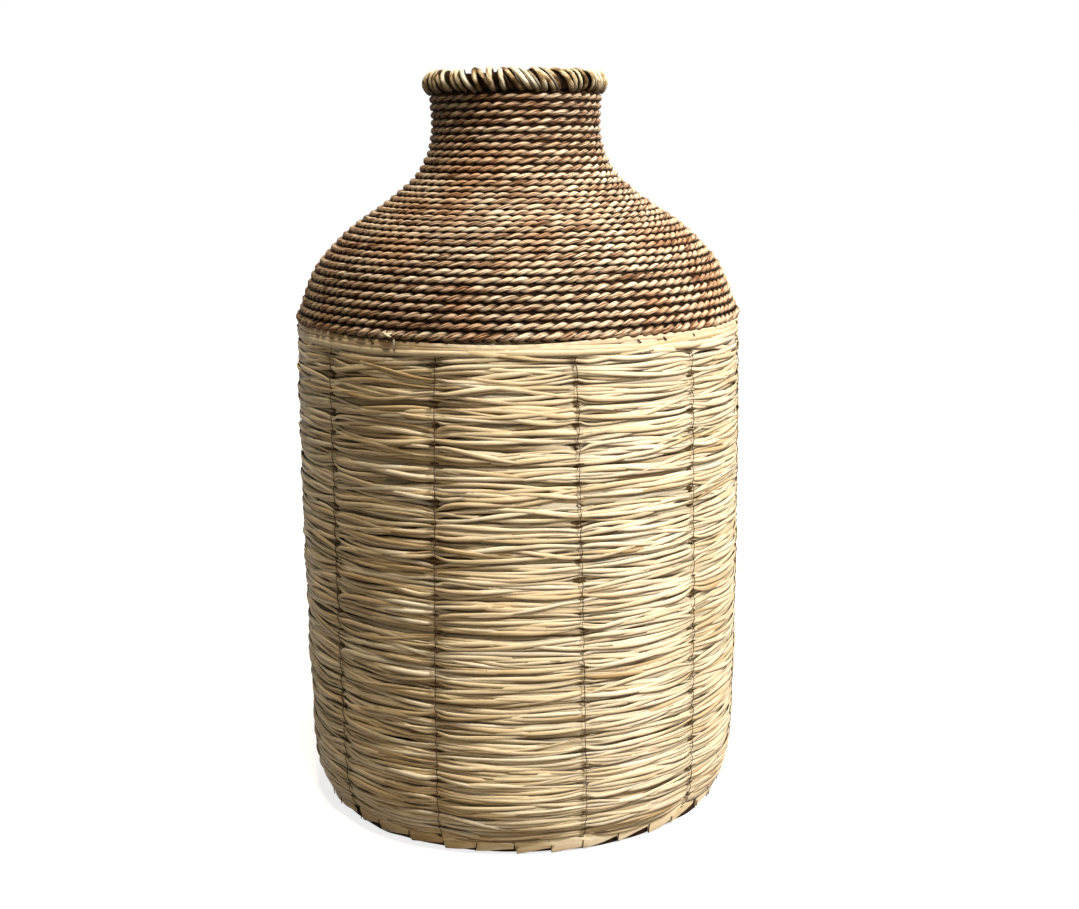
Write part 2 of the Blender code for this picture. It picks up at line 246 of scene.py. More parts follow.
# Rim
RIM_OVERHANG = 0.0038
RIM_RADIUS = NECK_RADIUS + RIM_OVERHANG
RIM_HEIGHT = 0.58272
RIM_CORE_DIAMETER = 0.0106
LASHING_THICKNESS = 0.004
LASHING_WRAPS = 62
LASHING_STRAND_WIDTH = 0.0036
LASHING_STRAND_THICKNESS = LASHING_STRAND_WIDTH * 1.1
LASHING_STRAND_POINTS = 15
LASHING_UNEVENNESS = 0.3
MAIN_STRAND_SIZES = (1.05, 1.45)
SECOND_STRAND_SIZES = (0.45, 0.75)
SECOND_STRAND_CHANCE = 0.35
SECOND_STRAND_ASIDE = 0.9
# The angles round the core's section at which each strand starts and ends
LASHING_FROM_DEGREES = -66
LASHING_TO_DEGREES = 222
# How far a strand leans, from which angle on, and over how many degrees
LASHING_LEAN = 0.0095
LEAN_SHARES = (0.5, 1.3)
LEAN_WAVER = 0.003
LEAN_FROM_DEGREES = 12
LEAN_SPAN_DEGREES = 156
# How far a strand stands off the core, drawn at four of its points
STRAND_LIFTS = (-0.0013, 0.0010)
LIFTED_POINTS = (0, 5, 9, 14)
RIM_PADDING_DIAMETER = 0.0126
RIM_PADDING_STEPS = 66

# Camera, as worked out from the photograph
IMAGE_WIDTH_PX = 1079
FOCAL_PX = 1500
SENSOR_WIDTH_MM = 36
CAMERA_DISTANCE = 1.233
CAMERA_HEIGHT = 0.5365
CAMERA_PITCH_DEGREES = 11.77
CAMERA_YAW_DEGREES = 0.76
CAMERA_ROLL_DEGREES = -0.57

# How strongly a finish reflects: dry fibre, and wire with a plastic coat
FIBRE_GLOSS = 0.08
WIRE_GLOSS = 0.5

# Noise lies almost wholly between these
NOISE_RANGE = (0.3, 0.7)

# Studio
FLOOR_REACH = 6.0
FLOOR_GLOW = 0.8
NEAR_FLOOR = 0.3
FAR_FLOOR = 1.8
FLOOR_BOUNCE = (0.3, 0.265, 0.215, 1.0)
FLOOR_SHADOWED = (0.9, 0.9, 0.9, 1.0)
WHITE = (1.0, 1.0, 1.0, 1.0)
WORLD_STRENGTH = 0.03
WORLD_TINT = (1.0, 0.82, 0.6, 1.0)
# Each lamp: name, place, aim, size, power and colour
LAMPS = (
    ("key", (1.66, -1.14, 2.2), (0.0, 0.0, 0.3), 0.5, 94.0, (1.0, 0.965, 0.91)),
    ("low fill", (1.5, -1.4, 0.35), (0.0, 0.0, 0.2), 0.6, 5.0, (1.0, 0.93, 0.82)),
    ("overhead", (-0.05, -0.7, 2.9), (0.0, 0.0, 0.3), 0.4, 42.0, (1.0, 0.86, 0.64)),
)


# Node trees


class Value:
    """A socket in a node tree. Sums and products of values add Math nodes to the tree."""

    def __init__(self, graph, socket):
        self.graph = graph
        self.socket = socket

    def __add__(self, other):
        return self.graph.maths("ADD", self, other)

    def __radd__(self, other):
        return self.graph.maths("ADD", other, self)

    def __sub__(self, other):
        return self.graph.maths("SUBTRACT", self, other)

    def __rsub__(self, other):
        return self.graph.maths("SUBTRACT", other, self)

    def __mul__(self, other):
        return self.graph.maths("MULTIPLY", self, other)

    def __rmul__(self, other):
        return self.graph.maths("MULTIPLY", other, self)

    def __truediv__(self, other):
        return self.graph.maths("DIVIDE", self, other)

    def __rtruediv__(self, other):
        return self.graph.maths("DIVIDE", other, self)

    def sibling(self, name):
        """Another output of the same node."""
        return Value(self.graph, self.socket.node.outputs[name])


class Graph:
    """Adds nodes to one tree, of a material or of geometry."""

    def __init__(self, tree):
        self.tree = tree

    def node(self, kind, settings=None, inputs=None, output=0):
        made = self.tree.nodes.new(kind)
        for name, value in (settings or {}).items():
            if name == "stops":
                self.set_stops(made.color_ramp, value)
            else:
                setattr(made, name, value)
        for name, value in (inputs or {}).items():
            self.feed(made.inputs[name], value)
        return Value(self, made.outputs[output])

    def feed(self, socket, value):
        if isinstance(value, Value):
            self.tree.links.new(value.socket, socket)
        elif isinstance(value, list):
            for item in value:
                self.tree.links.new(item.socket, socket)
        else:
            socket.default_value = value

    @staticmethod
    def set_stops(ramp, stops):
        while len(ramp.elements) < len(stops):
            ramp.elements.new(1.0)
        for element, (place, colour) in zip(ramp.elements, stops):
            element.position = place
            element.color = (*colour, 1.0)

    def maths(self, operation, one, other=0.0):
        return self.node("ShaderNodeMath", {"operation": operation}, {0: one, 1: other})

    def vector(self, operation, one, other=(0.0, 0.0, 0.0)):
        return self.node("ShaderNodeVectorMath", {"operation": operation}, {0: one, 1: other})

    def scaled(self, vector, amount):
        return self.node("ShaderNodeVectorMath", {"operation": "SCALE"}, {0: vector, "Scale": amount})

    def combined(self, x, y, z):
        return self.node("ShaderNodeCombineXYZ", None, {0: x, 1: y, 2: z})

    def mix(self, factor, one, other, blend="MIX"):
        settings = {"data_type": "RGBA", "blend_type": blend}
        return self.node("ShaderNodeMix", settings, {0: factor, 6: one, 7: other}, output=2)

    def noise(self, vector, scale, detail=2.0, roughness=0.5):
        inputs = {"Vector": vector, "Scale": scale, "Detail": detail, "Roughness": roughness}
        return self.node("ShaderNodeTexNoise", None, inputs)

    def ramp(self, factor, stops):
        return self.node("ShaderNodeValToRGB", {"stops": stops}, {0: factor})

    def remap(self, value, low, high, to_low=0.0, to_high=1.0):
        inputs = {0: value, 1: low, 2: high, 3: to_low, 4: to_high}
        return self.node("ShaderNodeMapRange", None, inputs)

    def attribute(self, name, output="Fac"):
        return self.node("ShaderNodeAttribute", {"attribute_name": name}, None, output)

    def object_place(self):
        return self.node("ShaderNodeTexCoord", None, None, "Object")


# Materials

# Ramp stops, each a place and a colour
STRAW_STOPS = (
    (0.34, (0.55, 0.41, 0.23)),
    (0.42, (0.75, 0.63, 0.41)),
    (0.5, (0.90, 0.81, 0.61)),
    (0.58, (0.95, 0.89, 0.73)),
    (0.68, (0.96, 0.93, 0.82)),
)
ROPE_STOPS = (
    (0.38, (0.10, 0.045, 0.022)),
    (0.44, (0.31, 0.165, 0.088)),
    (0.5, (0.60, 0.405, 0.255)),
    (0.56, (0.84, 0.66, 0.46)),
    (0.63, (0.91, 0.80, 0.61)),
)
LASHING_STOPS = (
    (0.3, (0.02, 0.011, 0.005)),
    (0.42, (0.11, 0.06, 0.025)),
    (0.5, (0.45, 0.31, 0.15)),
    (0.58, (0.80, 0.68, 0.45)),
    (0.72, (0.95, 0.88, 0.70)),
)
COIL_STOPS = (
    (0.3, (0.14, 0.08, 0.035)),
    (0.5, (0.42, 0.29, 0.14)),
    (0.7, (0.62, 0.48, 0.27)),
)
# Each plain finish: its dark and pale colours, roughness, scale of mottling and gloss
PLAIN_FINISHES = {
    "black coated wire": ((0.012, 0.012, 0.012), (0.035, 0.033, 0.03), 0.38, 90.0, WIRE_GLOSS),
    "shaded fibre": ((0.015, 0.008, 0.004), (0.05, 0.028, 0.013), 0.8, 140.0, FIBRE_GLOSS),
    "shaded rope": ((0.012, 0.006, 0.003), (0.05, 0.026, 0.012), 0.85, 120.0, FIBRE_GLOSS),
    "straw in the dark": ((0.07, 0.042, 0.019), (0.17, 0.112, 0.052), 0.8, 60.0, FIBRE_GLOSS),
    "dark thread": ((0.03, 0.015, 0.007), (0.10, 0.055, 0.028), 0.6, 300.0, FIBRE_GLOSS),
}
# Tint of the painted shade in grooves, scaled by each finish's darkness
GROOVE_SHADE_TINT = (0.5, 0.38, 0.25)
STRAW_TINT = (1.0, 0.95, 0.88)
STRAW_BLUSH = (0.78, 0.60, 0.44, 1.0)
STRAW_SPECK = (0.36, 0.24, 0.10, 1.0)
# Painted shade along the lower side of each straw
STRAW_UNDERSIDE_SHADE = (0.14, 0.08, 0.03, 1.0)
ROPE_RUDDY = (0.86, 0.66, 0.54, 1.0)
# Painted shade below each rope turn
ROPE_UNDERSIDE_SHADE = (0.06, 0.024, 0.01, 1.0)
# Gain of the painted light on the rope's +X side, where the key lamp falls
ROPE_LIT_SIDE_GAIN = (1.2, 1.2, 1.2, 1.0)
# Painted shade over the rim's lower half
LASHING_UNDERSIDE_SHADE = (0.04, 0.02, 0.008, 1.0)
# Painted shade in the coil's grooves
COIL_GROOVE_SHADE = (0.05, 0.028, 0.012, 1.0)


def new_material(name, gloss=FIBRE_GLOSS):
    made = bpy.data.materials.new(name)
    made.use_nodes = True
    graph = Graph(made.node_tree)
    shader = made.node_tree.nodes["Principled BSDF"]
    shader.inputs["Specular IOR Level"].default_value = gloss
    return made, graph, shader


def shade_grooves(graph, colour, low, high, dark):
    """The colour darkened towards brown as painted shade where the surface turns away into a groove."""
    open_share = graph.remap(graph.attribute("standing"), low, high)
    painted_shade = graph.mix(1.0, colour, (*(part * dark for part in GROOVE_SHADE_TINT), 1.0), "MULTIPLY")
    return graph.mix(open_share, painted_shade, colour)


def finish_surface(graph, shader, colour, grain, roughness, height, strength, depth):
    """Feeds a finish's colour, its roughness from its grain, and its bump from a height."""
    graph.feed(shader.inputs["Base Color"], colour)
    graph.feed(shader.inputs["Roughness"], graph.remap(grain, *NOISE_RANGE, *roughness))
    inputs = {"Strength": strength, "Distance": depth, "Height": height}
    graph.feed(shader.inputs["Normal"], graph.node("ShaderNodeBump", None, inputs))


def fibre_vector(graph, along_scale):
    """A place on a strand: the length along it, the direction round its section, and its own number."""
    section = graph.attribute("section", "Vector")
    along = graph.attribute("along") * along_scale
    piece = graph.attribute("piece")
    return graph.vector("ADD", section, graph.combined(along, piece * 7.3, piece * 3.1))


def straw_material(name, light=1.0, painted_shade=True):
    """Pale straw with blushed patches, brown specks and, if asked, painted shade on the undersides and in the
    grooves.
    """
    made, graph, shader = new_material(name)
    piece = graph.attribute("piece")
    along = graph.attribute("along")
    patches = graph.noise(graph.combined(along * 6.0, piece * 5.7, 0.0), 1.0, 1.0)
    streaks = graph.noise(fibre_vector(graph, 14.0), 2.2, 3.0)
    fine = graph.noise(fibre_vector(graph, 40.0), 6.0, 2.0)
    tone = patches * 0.62 + streaks * 0.38
    colour = graph.ramp(tone, STRAW_STOPS)
    blush = graph.remap(graph.noise(graph.combined(along * 4.0, piece * 41.0, 2.0), 1.0, 1.0), 0.5, 0.62)
    colour = graph.mix(blush * 0.35, colour, STRAW_BLUSH, "MULTIPLY")
    specks = graph.remap(fine, 0.62, 0.72)
    colour = graph.mix(specks * 0.45, colour, STRAW_SPECK)
    # Painted shade: each straw darkened along its lower side, and towards its edges as in a groove.
    if painted_shade:
        under = graph.remap(graph.attribute("above"), -0.9, -0.35, 0.9, 0.0)
        colour = graph.mix(under, colour, STRAW_UNDERSIDE_SHADE)
        colour = shade_grooves(graph, colour, 0.0, 0.45, 0.15)
    # The light factor scales the whole colour: below 1 it paints a shaded copy of the straw, above 1 a lit
    # copy.
    colour = graph.mix(1.0, colour, (*(part * light for part in STRAW_TINT), 1.0), "MULTIPLY")
    finish_surface(graph, shader, colour, streaks, (0.42, 0.62), streaks + fine * 0.5, 0.5, 0.0006)
    return made


def rope_material():
    """Twisted fibre, ruddy in patches, with painted shade below each turn and in the twist, a painted
    highlight on the upper side of each turn, and painted light on its +X side.
    """
    made, graph, shader = new_material("twisted fibre rope")
    piece = graph.attribute("piece")
    along = graph.attribute("along")
    patches = graph.noise(graph.combined(along * 9.0, piece * 0.6, 0.0), 1.0, 2.0)
    fibres = graph.noise(fibre_vector(graph, 45.0), 3.2, 2.0)
    above = graph.attribute("above")
    # The small share of above lightens the upper side of each turn, a painted highlight.
    tone = patches * 0.5 + fibres * 0.95 + above * 0.03 - 0.225
    colour = graph.ramp(tone, ROPE_STOPS)
    place = graph.object_place()
    ruddy = graph.remap(graph.noise(place, 18.0, 2.0), 0.48, 0.62, 0.0, 0.8)
    colour = graph.mix(ruddy, colour, ROPE_RUDDY, "MULTIPLY")
    # Painted shade: the colour darkened below each turn, and in the grooves of the twist.
    under = graph.remap(above, -0.75, 0.25, 0.95, 0.0)
    colour = graph.mix(under, colour, ROPE_UNDERSIDE_SHADE)
    colour = shade_grooves(graph, colour, 0.2, 0.72, 0.04)
    # Painted light: the colour raised on the +X side, where the key lamp falls.
    side = graph.node("ShaderNodeSeparateXYZ", None, {0: place}, "X")
    lit_side = graph.remap(side, -0.05, 0.08)
    colour = graph.mix(lit_side, colour, ROPE_LIT_SIDE_GAIN, "MULTIPLY")
    finish_surface(graph, shader, colour, fibres, (0.55, 0.8), fibres, 1.0, 0.0008)
    return made


def plain_material(name):
    """A finish with soft mottling on Object coordinates."""
    dark, pale, roughness, scale, gloss = PLAIN_FINISHES[name]
    made, graph, shader = new_material(name, gloss)
    place = graph.object_place()
    mottle = graph.noise(place, scale, 3.0)
    colour = graph.ramp(mottle, tuple(zip(NOISE_RANGE, (dark, pale))))
    finish_surface(graph, shader, colour, mottle, (roughness, roughness + 0.15), mottle, 0.3, 0.0003)
    return made


def lashing_material():
    """Pale and dark strands side by side, with painted shade in the grooves and over the rim's lower half."""
    made, graph, shader = new_material("rim lashing")
    piece = graph.attribute("piece")
    fibres = graph.noise(fibre_vector(graph, 70.0), 3.0, 3.0, 0.6)
    patches = graph.noise(graph.combined(graph.attribute("along") * 130.0, piece * 33.0, 0.0), 1.0, 1.0)
    tone = piece * 0.26 + patches * 0.62 + fibres * 0.45 - 0.08
    colour = graph.ramp(tone, LASHING_STOPS)
    # Painted shade in the grooves between strands and over the rim's lower half.
    colour = shade_grooves(graph, colour, 0.2, 0.85, 0.04)
    place = graph.object_place()
    height = graph.node("ShaderNodeSeparateXYZ", None, {0: place}, "Z")
    under = graph.remap(height, RIM_HEIGHT - 0.007, RIM_HEIGHT + 0.0005, 0.92, 0.0)
    colour = graph.mix(under, colour, LASHING_UNDERSIDE_SHADE)
    finish_surface(graph, shader, colour, fibres, (0.5, 0.75), fibres, 0.8, 0.0006)
    return made


def coil_material():
    """A fibre cord coiled flat from the middle outward, with painted shade in the grooves between its turns.
    """
    made, graph, shader = new_material("coiled fibre")
    place = graph.object_place()
    out = graph.vector("LENGTH", graph.vector("MULTIPLY", place, LEVEL_PART)).sibling("Value")
    ridge = graph.maths("SINE", out * (2 * math.pi / COIL_PITCH)) * 0.5 + 0.5
    fibres = graph.noise(place, 260.0, 3.0)
    patches = graph.noise(place, 22.0, 2.0)
    tone = patches * 0.5 + fibres * 0.3 + ridge * 0.2
    colour = graph.ramp(tone, COIL_STOPS)
    # Painted shade in the grooves between the coil's turns.
    groove = graph.remap(ridge, 0.0, 0.4, 0.8, 0.0)
    colour = graph.mix(groove, colour, COIL_GROOVE_SHADE)
    finish_surface(graph, shader, colour, fibres, (0.6, 0.8), ridge + fibres * 0.3, 0.9, 0.0015)
    return made


# Outlines in the plane of one rib, as rows of radius and height


def frame_outline():
    foot = BASE_HOOP_DIAMETER + SEAT_GAP
    points = [(BASE_HOOP_RADIUS, foot), (BASE_HOOP_RADIUS, foot + RIB_RADIUS)]
    points += [(BODY_RADIUS * radius, BODY_HEIGHT * height) for height, radius in BODY_OUTLINE_SHARES]
    inward = BODY_RADIUS - NECK_RADIUS
    for height, share in SHOULDER_OUTLINE_SHARES:
        points.append((BODY_RADIUS - inward * share, BODY_HEIGHT + SHOULDER_HEIGHT * height))
    neck_foot = BODY_HEIGHT + SHOULDER_HEIGHT
    for height, radius in NECK_OUTLINE_SHARES:
        points.append((NECK_RADIUS * radius, neck_foot + NECK_HEIGHT * height))
    return np.array(points)


class Outline:
    """A smooth line through the frame's points, moved outward by a distance, and measured along its length.

    A draw above zero pulls its foot inwards, as the straw is pulled in to the base hoop.
    """

    def __init__(self, points, outward, draw=0.0):
        dense = self.curved(points)
        along = np.gradient(dense, axis=0)
        along /= np.linalg.norm(along, axis=1)[:, None]
        normals = np.stack([along[:, 1], -along[:, 0]], axis=1)
        self.points = dense + normals * outward
        self.points[:, 0] -= draw * np.clip(1 - self.points[:, 1] / DRAWN_HEIGHT, 0.0, 1.0) ** 2
        steps = np.linalg.norm(np.diff(self.points, axis=0), axis=1)
        self.lengths = np.concatenate([[0.0], np.cumsum(steps)])

    @staticmethod
    def curved(points):
        """A Catmull-Rom curve, with the same number of steps from each point to the next."""
        padded = np.vstack([2 * points[0] - points[1], points, 2 * points[-1] - points[-2]])
        made = []
        for a, b, c, d in zip(padded, padded[1:], padded[2:], padded[3:]):
            for t in np.arange(CURVE_STEPS) / CURVE_STEPS:
                square, cube = 2 * a - 5 * b + 4 * c - d, 3 * b - a - 3 * c + d
                made.append(0.5 * (2 * b + (c - a) * t + square * t**2 + cube * t**3))
        made.append(points[-1])
        return np.array(made)

    def length_at(self, index):
        return self.lengths[index * CURVE_STEPS]

    def at(self, length):
        radius = np.interp(length, self.lengths, self.points[:, 0])
        height = np.interp(length, self.lengths, self.points[:, 1])
        return radius, height

    def slope(self, length):
        """How far the surface leans back from upright at a length, in radians."""
        r0, z0 = self.at(length - SLOPE_STEP)
        r1, z1 = self.at(length + SLOPE_STEP)
        return math.atan2(r0 - r1, z1 - z0)

    def beside(self, other, length):
        """The length on this line that lies beside a length on another through the same points."""
        index = np.interp(length, other.lengths, np.arange(len(other.lengths)))
        return np.interp(index, np.arange(len(self.lengths)), self.lengths)


FRAME_POINTS = frame_outline()


def rope_line(diameter):
    """The line that the middle of a rope follows where it lies on the ribs."""
    return Outline(FRAME_POINTS, RIB_RADIUS + SEAT_GAP + diameter / 2)


def belt_middle():
    """The radius and height of the belt rope's middle."""
    line = rope_line(BELT_ROPE_DIAMETER)
    return line.at(line.length_at(BELT_INDEX) + SEAT_GAP + BELT_ROPE_DIAMETER / 2)


def column_angle(column):
    return math.radians(FIRST_COLUMN_DEGREES - 90 + column * 360 / RIB_COUNT)


def placed(radius, height, angle):
    return radius * math.cos(angle), radius * math.sin(angle), height


def level_ring(radius, height, steps, tilt=0.0):
    """A closed level circle, as a spline for curve_object."""
    return [(placed(radius, height, angle), 1.0, tilt) for angle in np.linspace(0, 2 * math.pi, steps + 1)]


def smoothed(share):
    """A share that starts and ends its way from 0 to 1 slowly."""
    return share * share * (3 - 2 * share)


def between(one, other, share):
    return one * (1 - share) + other * share


# Objects


def link(made):
    bpy.context.scene.collection.objects.link(made)
    return made


def curve_object(name, splines):
    """A holder for the paths that a geometry tree sweeps. A spline is a list of (point, size, tilt)."""
    data = bpy.data.curves.new(name, "CURVE")
    data.dimensions = "3D"
    data.twist_mode = "Z_UP"
    for points in splines:
        spline = data.splines.new("POLY")
        spline.points.add(len(points) - 1)
        for knot, (place, size, tilt) in zip(spline.points, points):
            knot.co = (*place, 1.0)
            knot.radius = size
            knot.tilt = tilt
    return link(bpy.data.objects.new(name, data))


def new_tree(name, inputs):
    """A geometry tree with named inputs, and its graph, incoming geometry and input values."""
    tree = bpy.data.node_groups.new(name, "GeometryNodeTree")
    tree.interface.new_socket("Geometry", in_out="OUTPUT", socket_type="NodeSocketGeometry")
    tree.interface.new_socket("Geometry", in_out="INPUT", socket_type="NodeSocketGeometry")
    for key, kind in inputs.items():
        tree.interface.new_socket(key, in_out="INPUT", socket_type=kind)
    graph = Graph(tree)
    start = tree.nodes.new("NodeGroupInput")
    values = {socket.name: Value(graph, socket) for socket in start.outputs if socket.name}
    return tree, graph, values


def finish_tree(graph, geometry, material):
    """Ends a tree in real geometry with its material."""
    geometry = graph.node("GeometryNodeRealizeInstances", None, {"Geometry": geometry})
    geometry = graph.node("GeometryNodeSetMaterial", None, {"Geometry": geometry, "Material": material})
    end = graph.tree.nodes.new("NodeGroupOutput")
    graph.feed(end.inputs[0], geometry)


def grown(holder, tree, values, name):
    """The plain mesh that a tree makes of its holder, which is then removed."""
    modifier = holder.modifiers.new("growth", "NODES")
    modifier.node_group = tree
    for item in tree.interface.items_tree:
        if item.in_out == "INPUT" and item.name in values:
            modifier[item.identifier] = values[item.name]
    depsgraph = bpy.context.evaluated_depsgraph_get()
    evaluated = holder.evaluated_get(depsgraph)
    mesh = bpy.data.meshes.new_from_object(evaluated, preserve_all_data_layers=True, depsgraph=depsgraph)
    holder.modifiers.remove(modifier)
    bpy.data.objects.remove(holder)
    mesh.name = name
    return link(bpy.data.objects.new(name, mesh))


def settle(piece, slot, *nodes):
    """Puts a piece on the body in place of the plain CAD nodes, which it hides. The slot is not used."""
    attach(piece, "root")
    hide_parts(*nodes)


def store(graph, geometry, name, value, kind="FLOAT", domain="POINT"):
    inputs = {"Geometry": geometry, "Name": name, "Value": value}
    return graph.node("GeometryNodeStoreNamedAttribute", {"data_type": kind, "domain": domain}, inputs)


def named(graph, name, kind="FLOAT"):
    return graph.node("GeometryNodeInputNamedAttribute", {"data_type": kind}, {"Name": name})


def swept(graph, path, width, thickness, sides):
    """A strand along a path, which keeps its path's place and the direction round its section."""
    profile = graph.node("GeometryNodeCurvePrimitiveCircle", None, {"Resolution": sides, "Radius": 1.0})
    place = graph.node("GeometryNodeInputPosition")
    profile = store(graph, profile, "section", place, "FLOAT_VECTOR")
    size = graph.combined(thickness / 2.0, width / 2.0, 1.0)
    profile = graph.node("GeometryNodeTransform", None, {"Geometry": profile, "Scale": size})
    inputs = {"Curve": path, "Profile Curve": profile, "Scale": graph.node("GeometryNodeInputRadius")}
    mesh = graph.node("GeometryNodeCurveToMesh", None, {**inputs, "Fill Caps": True})
    return graph.node("GeometryNodeSetShadeSmooth", None, {"Geometry": mesh})


def marked(graph, mesh, out_reach, up_reach):
    """Adds how far each point stands out from its centre, and how far above it, from -1 to 1."""
    place = graph.node("GeometryNodeInputPosition")
    offset = graph.vector("SUBTRACT", place, named(graph, "centre", "FLOAT_VECTOR"))
    out = graph.vector("DOT_PRODUCT", offset, named(graph, "away", "FLOAT_VECTOR")).sibling("Value")
    mesh = store(graph, mesh, "standing", out / out_reach)
    up = graph.vector("DOT_PRODUCT", offset, UPWARD).sibling("Value")
    return store(graph, mesh, "above", up / up_reach)


def radial_direction(graph):
    place = graph.node("GeometryNodeInputPosition")
    return graph.vector("NORMALIZE", graph.vector("MULTIPLY", place, LEVEL_PART))


def rope_tree():
    """Two strands laid round each other along each path, with the uneven lay of a hand-twisted rope.

    The path's tilt holds the slope of the surface that the rope lies on.
    """
    kinds = {
        "Rope diameter": "NodeSocketFloat",
        "Lay length": "NodeSocketFloat",
        "Point spacing": "NodeSocketFloat",
        "Start length": "NodeSocketFloat",
        "Seed": "NodeSocketFloat",
        "Material": "NodeSocketMaterial",
    }
    tree, graph, given = new_tree("twisted rope", kinds)
    inputs = {"Curve": given["Geometry"], "Length": given["Point spacing"]}
    path = graph.node("GeometryNodeResampleCurve", {"mode": "LENGTH"}, inputs)
    along = graph.node("GeometryNodeSplineParameter", output="Length") + given["Start length"]
    path = store(graph, path, "along", along)
    path = store(graph, path, "centre", graph.node("GeometryNodeInputPosition"), "FLOAT_VECTOR")
    radial = radial_direction(graph)
    slope = graph.node("GeometryNodeInputCurveTilt")
    rise, run = graph.maths("SINE", slope), graph.maths("COSINE", slope)
    outward = graph.vector("ADD", graph.scaled(radial, run), graph.combined(0.0, 0.0, rise))
    upward = graph.vector("ADD", graph.scaled(radial, 0.0 - rise), graph.combined(0.0, 0.0, run))
    path = store(graph, path, "away", outward, "FLOAT_VECTOR")
    path = store(graph, path, "across", upward, "FLOAT_VECTOR")
    drift = graph.noise(graph.combined(along * 14.0, given["Seed"], 0.0), 1.0, 2.0)
    swell = graph.noise(graph.combined(along * 60.0, given["Seed"] + 5.0, 0.0), 1.0, 2.0)
    taper = graph.node("GeometryNodeInputRadius")
    size = graph.remap(swell, *NOISE_RANGE, *STRAND_SIZES) * taper
    reach = given["Rope diameter"] * STRAND_REACH_SHARE * taper
    thick = given["Rope diameter"] * STRAND_THICKNESS_SHARE
    strands = []
    for strand in range(2):
        turn = along / given["Lay length"] * (2 * math.pi) + drift * LAY_DRIFT + math.pi * strand
        out = graph.scaled(named(graph, "away", "FLOAT_VECTOR"), graph.maths("COSINE", turn) * reach)
        up = graph.scaled(named(graph, "across", "FLOAT_VECTOR"), graph.maths("SINE", turn) * reach)
        inputs = {"Geometry": path, "Offset": graph.vector("ADD", out, up)}
        line = graph.node("GeometryNodeSetPosition", None, inputs)
        line = store(graph, line, "piece", given["Seed"] + strand * 0.37)
        line = graph.node("GeometryNodeSetCurveRadius", None, {"Curve": line, "Radius": size})
        strands.append(swept(graph, line, thick, thick, STRAND_SIDES))
    joined = graph.node("GeometryNodeJoinGeometry", None, {"Geometry": strands})
    half = given["Rope diameter"] * 0.5
    finish_tree(graph, marked(graph, joined, half, half), given["Material"])
    return tree


def winding_path(line, top, bottom, loops, first_loop, last_loop, laid=None):
    """Part of a winding whose turns run level and drop to the next one at the back.

    The turns are spaced along one line, and lie on it or on another beside it. The two ends taper off in
    the spaces that the first and the last drop leave.
    """
    pitch = (top - bottom) / (loops - 1)
    laid = laid or line
    # The steps of one drop
    lead = round(DROP_SHARE * TURN_POINTS)
    first_step = first_loop * TURN_POINTS - (lead if first_loop == 0 else 0)
    points = []
    for step in range(first_step, last_loop * TURN_POINTS + 1):
        turn, along = divmod(step / TURN_POINTS, 1.0)
        dropped = max(0.0, (along - (1 - DROP_SHARE)) / DROP_SHARE)
        eased = smoothed(dropped)
        length = top - pitch * (turn + eased)
        size = 1.0
        if step < 0:
            size = max(eased, THINNEST_END)
            length = top + pitch / 2 * (1 - eased)
        elif step > loops * TURN_POINTS - lead:
            eased = 1.0 if turn == loops else eased
            size = max(1 - eased, THINNEST_END)
            length = bottom - pitch / 2 * eased
        length = laid.beside(line, length)
        radius, height = laid.at(length)
        angle = column_angle(WINDING_START_COLUMN + step / TURN_POINTS * RIB_COUNT)
        points.append((placed(radius, height, angle), size, laid.slope(length)))
    return points


def add_rope(name, node, path, tree, finish, diameter, lay, spacing, seed, start_length=0.0):
    values = {
        "Rope diameter": diameter,
        "Lay length": lay,
        "Point spacing": spacing,
        "Start length": start_length,
        "Seed": seed,
        "Material": finish,
    }
    settle(grown(curve_object(name, [path]), tree, values, name), "twisted_rope", node)


def add_filler(name, node, tree, finish, top, pitch, loops, line):
    """Turns of plain cord in the hollows behind a winding, which keep daylight out of its gaps."""
    hollow = Outline(FRAME_POINTS, RIB_RADIUS + FILLER_DIAMETER / 2)
    path = winding_path(line, top, top - pitch * (loops - 1), loops, 0, loops, hollow)
    path = [(place, size, 0.0) for place, size, _ in path]
    width = FILLER_DIAMETER
    piece = grow_strands(name, [path], tree, finish, width, width, sides=6, spacing=0.006, seed=8)
    settle(piece, "twisted_rope", node)


def add_shoulder_rope(tree, strands, finish, shaded):
    """The shoulder's winding in parts, each with a whole number of turns, and its filler."""
    line = rope_line(SHOULDER_ROPE_DIAMETER)
    top = line.length_at(NECK_INDEX)
    bottom = line.length_at(BELT_INDEX) + BELT_ROPE_DIAMETER + SHOULDER_ROPE_DIAMETER / 2
    pitch = (top - bottom) / (SHOULDER_LOOPS - 1)
    width = pitch * WINDING_FULLNESS
    share = SHOULDER_LOOPS // SHOULDER_PARTS
    start_length = 0.0
    for part in range(SHOULDER_PARTS):
        path = winding_path(line, top, bottom, SHOULDER_LOOPS, part * share, (part + 1) * share)
        name = f"shoulder_rope_twist_{part + 1}"
        make = {"spacing": 0.0015, "seed": 3.0, "start_length": start_length}
        add_rope(name, "shoulder_rope", path, tree, finish, width, SHOULDER_LAY, **make)
        start_length += sum(math.dist(one[0], other[0]) for one, other in zip(path, path[1:]))
    fill = top + pitch / 2
    add_filler("shoulder_filler", "shoulder_rope", strands, shaded, fill, pitch, SHOULDER_LOOPS + 1, line)


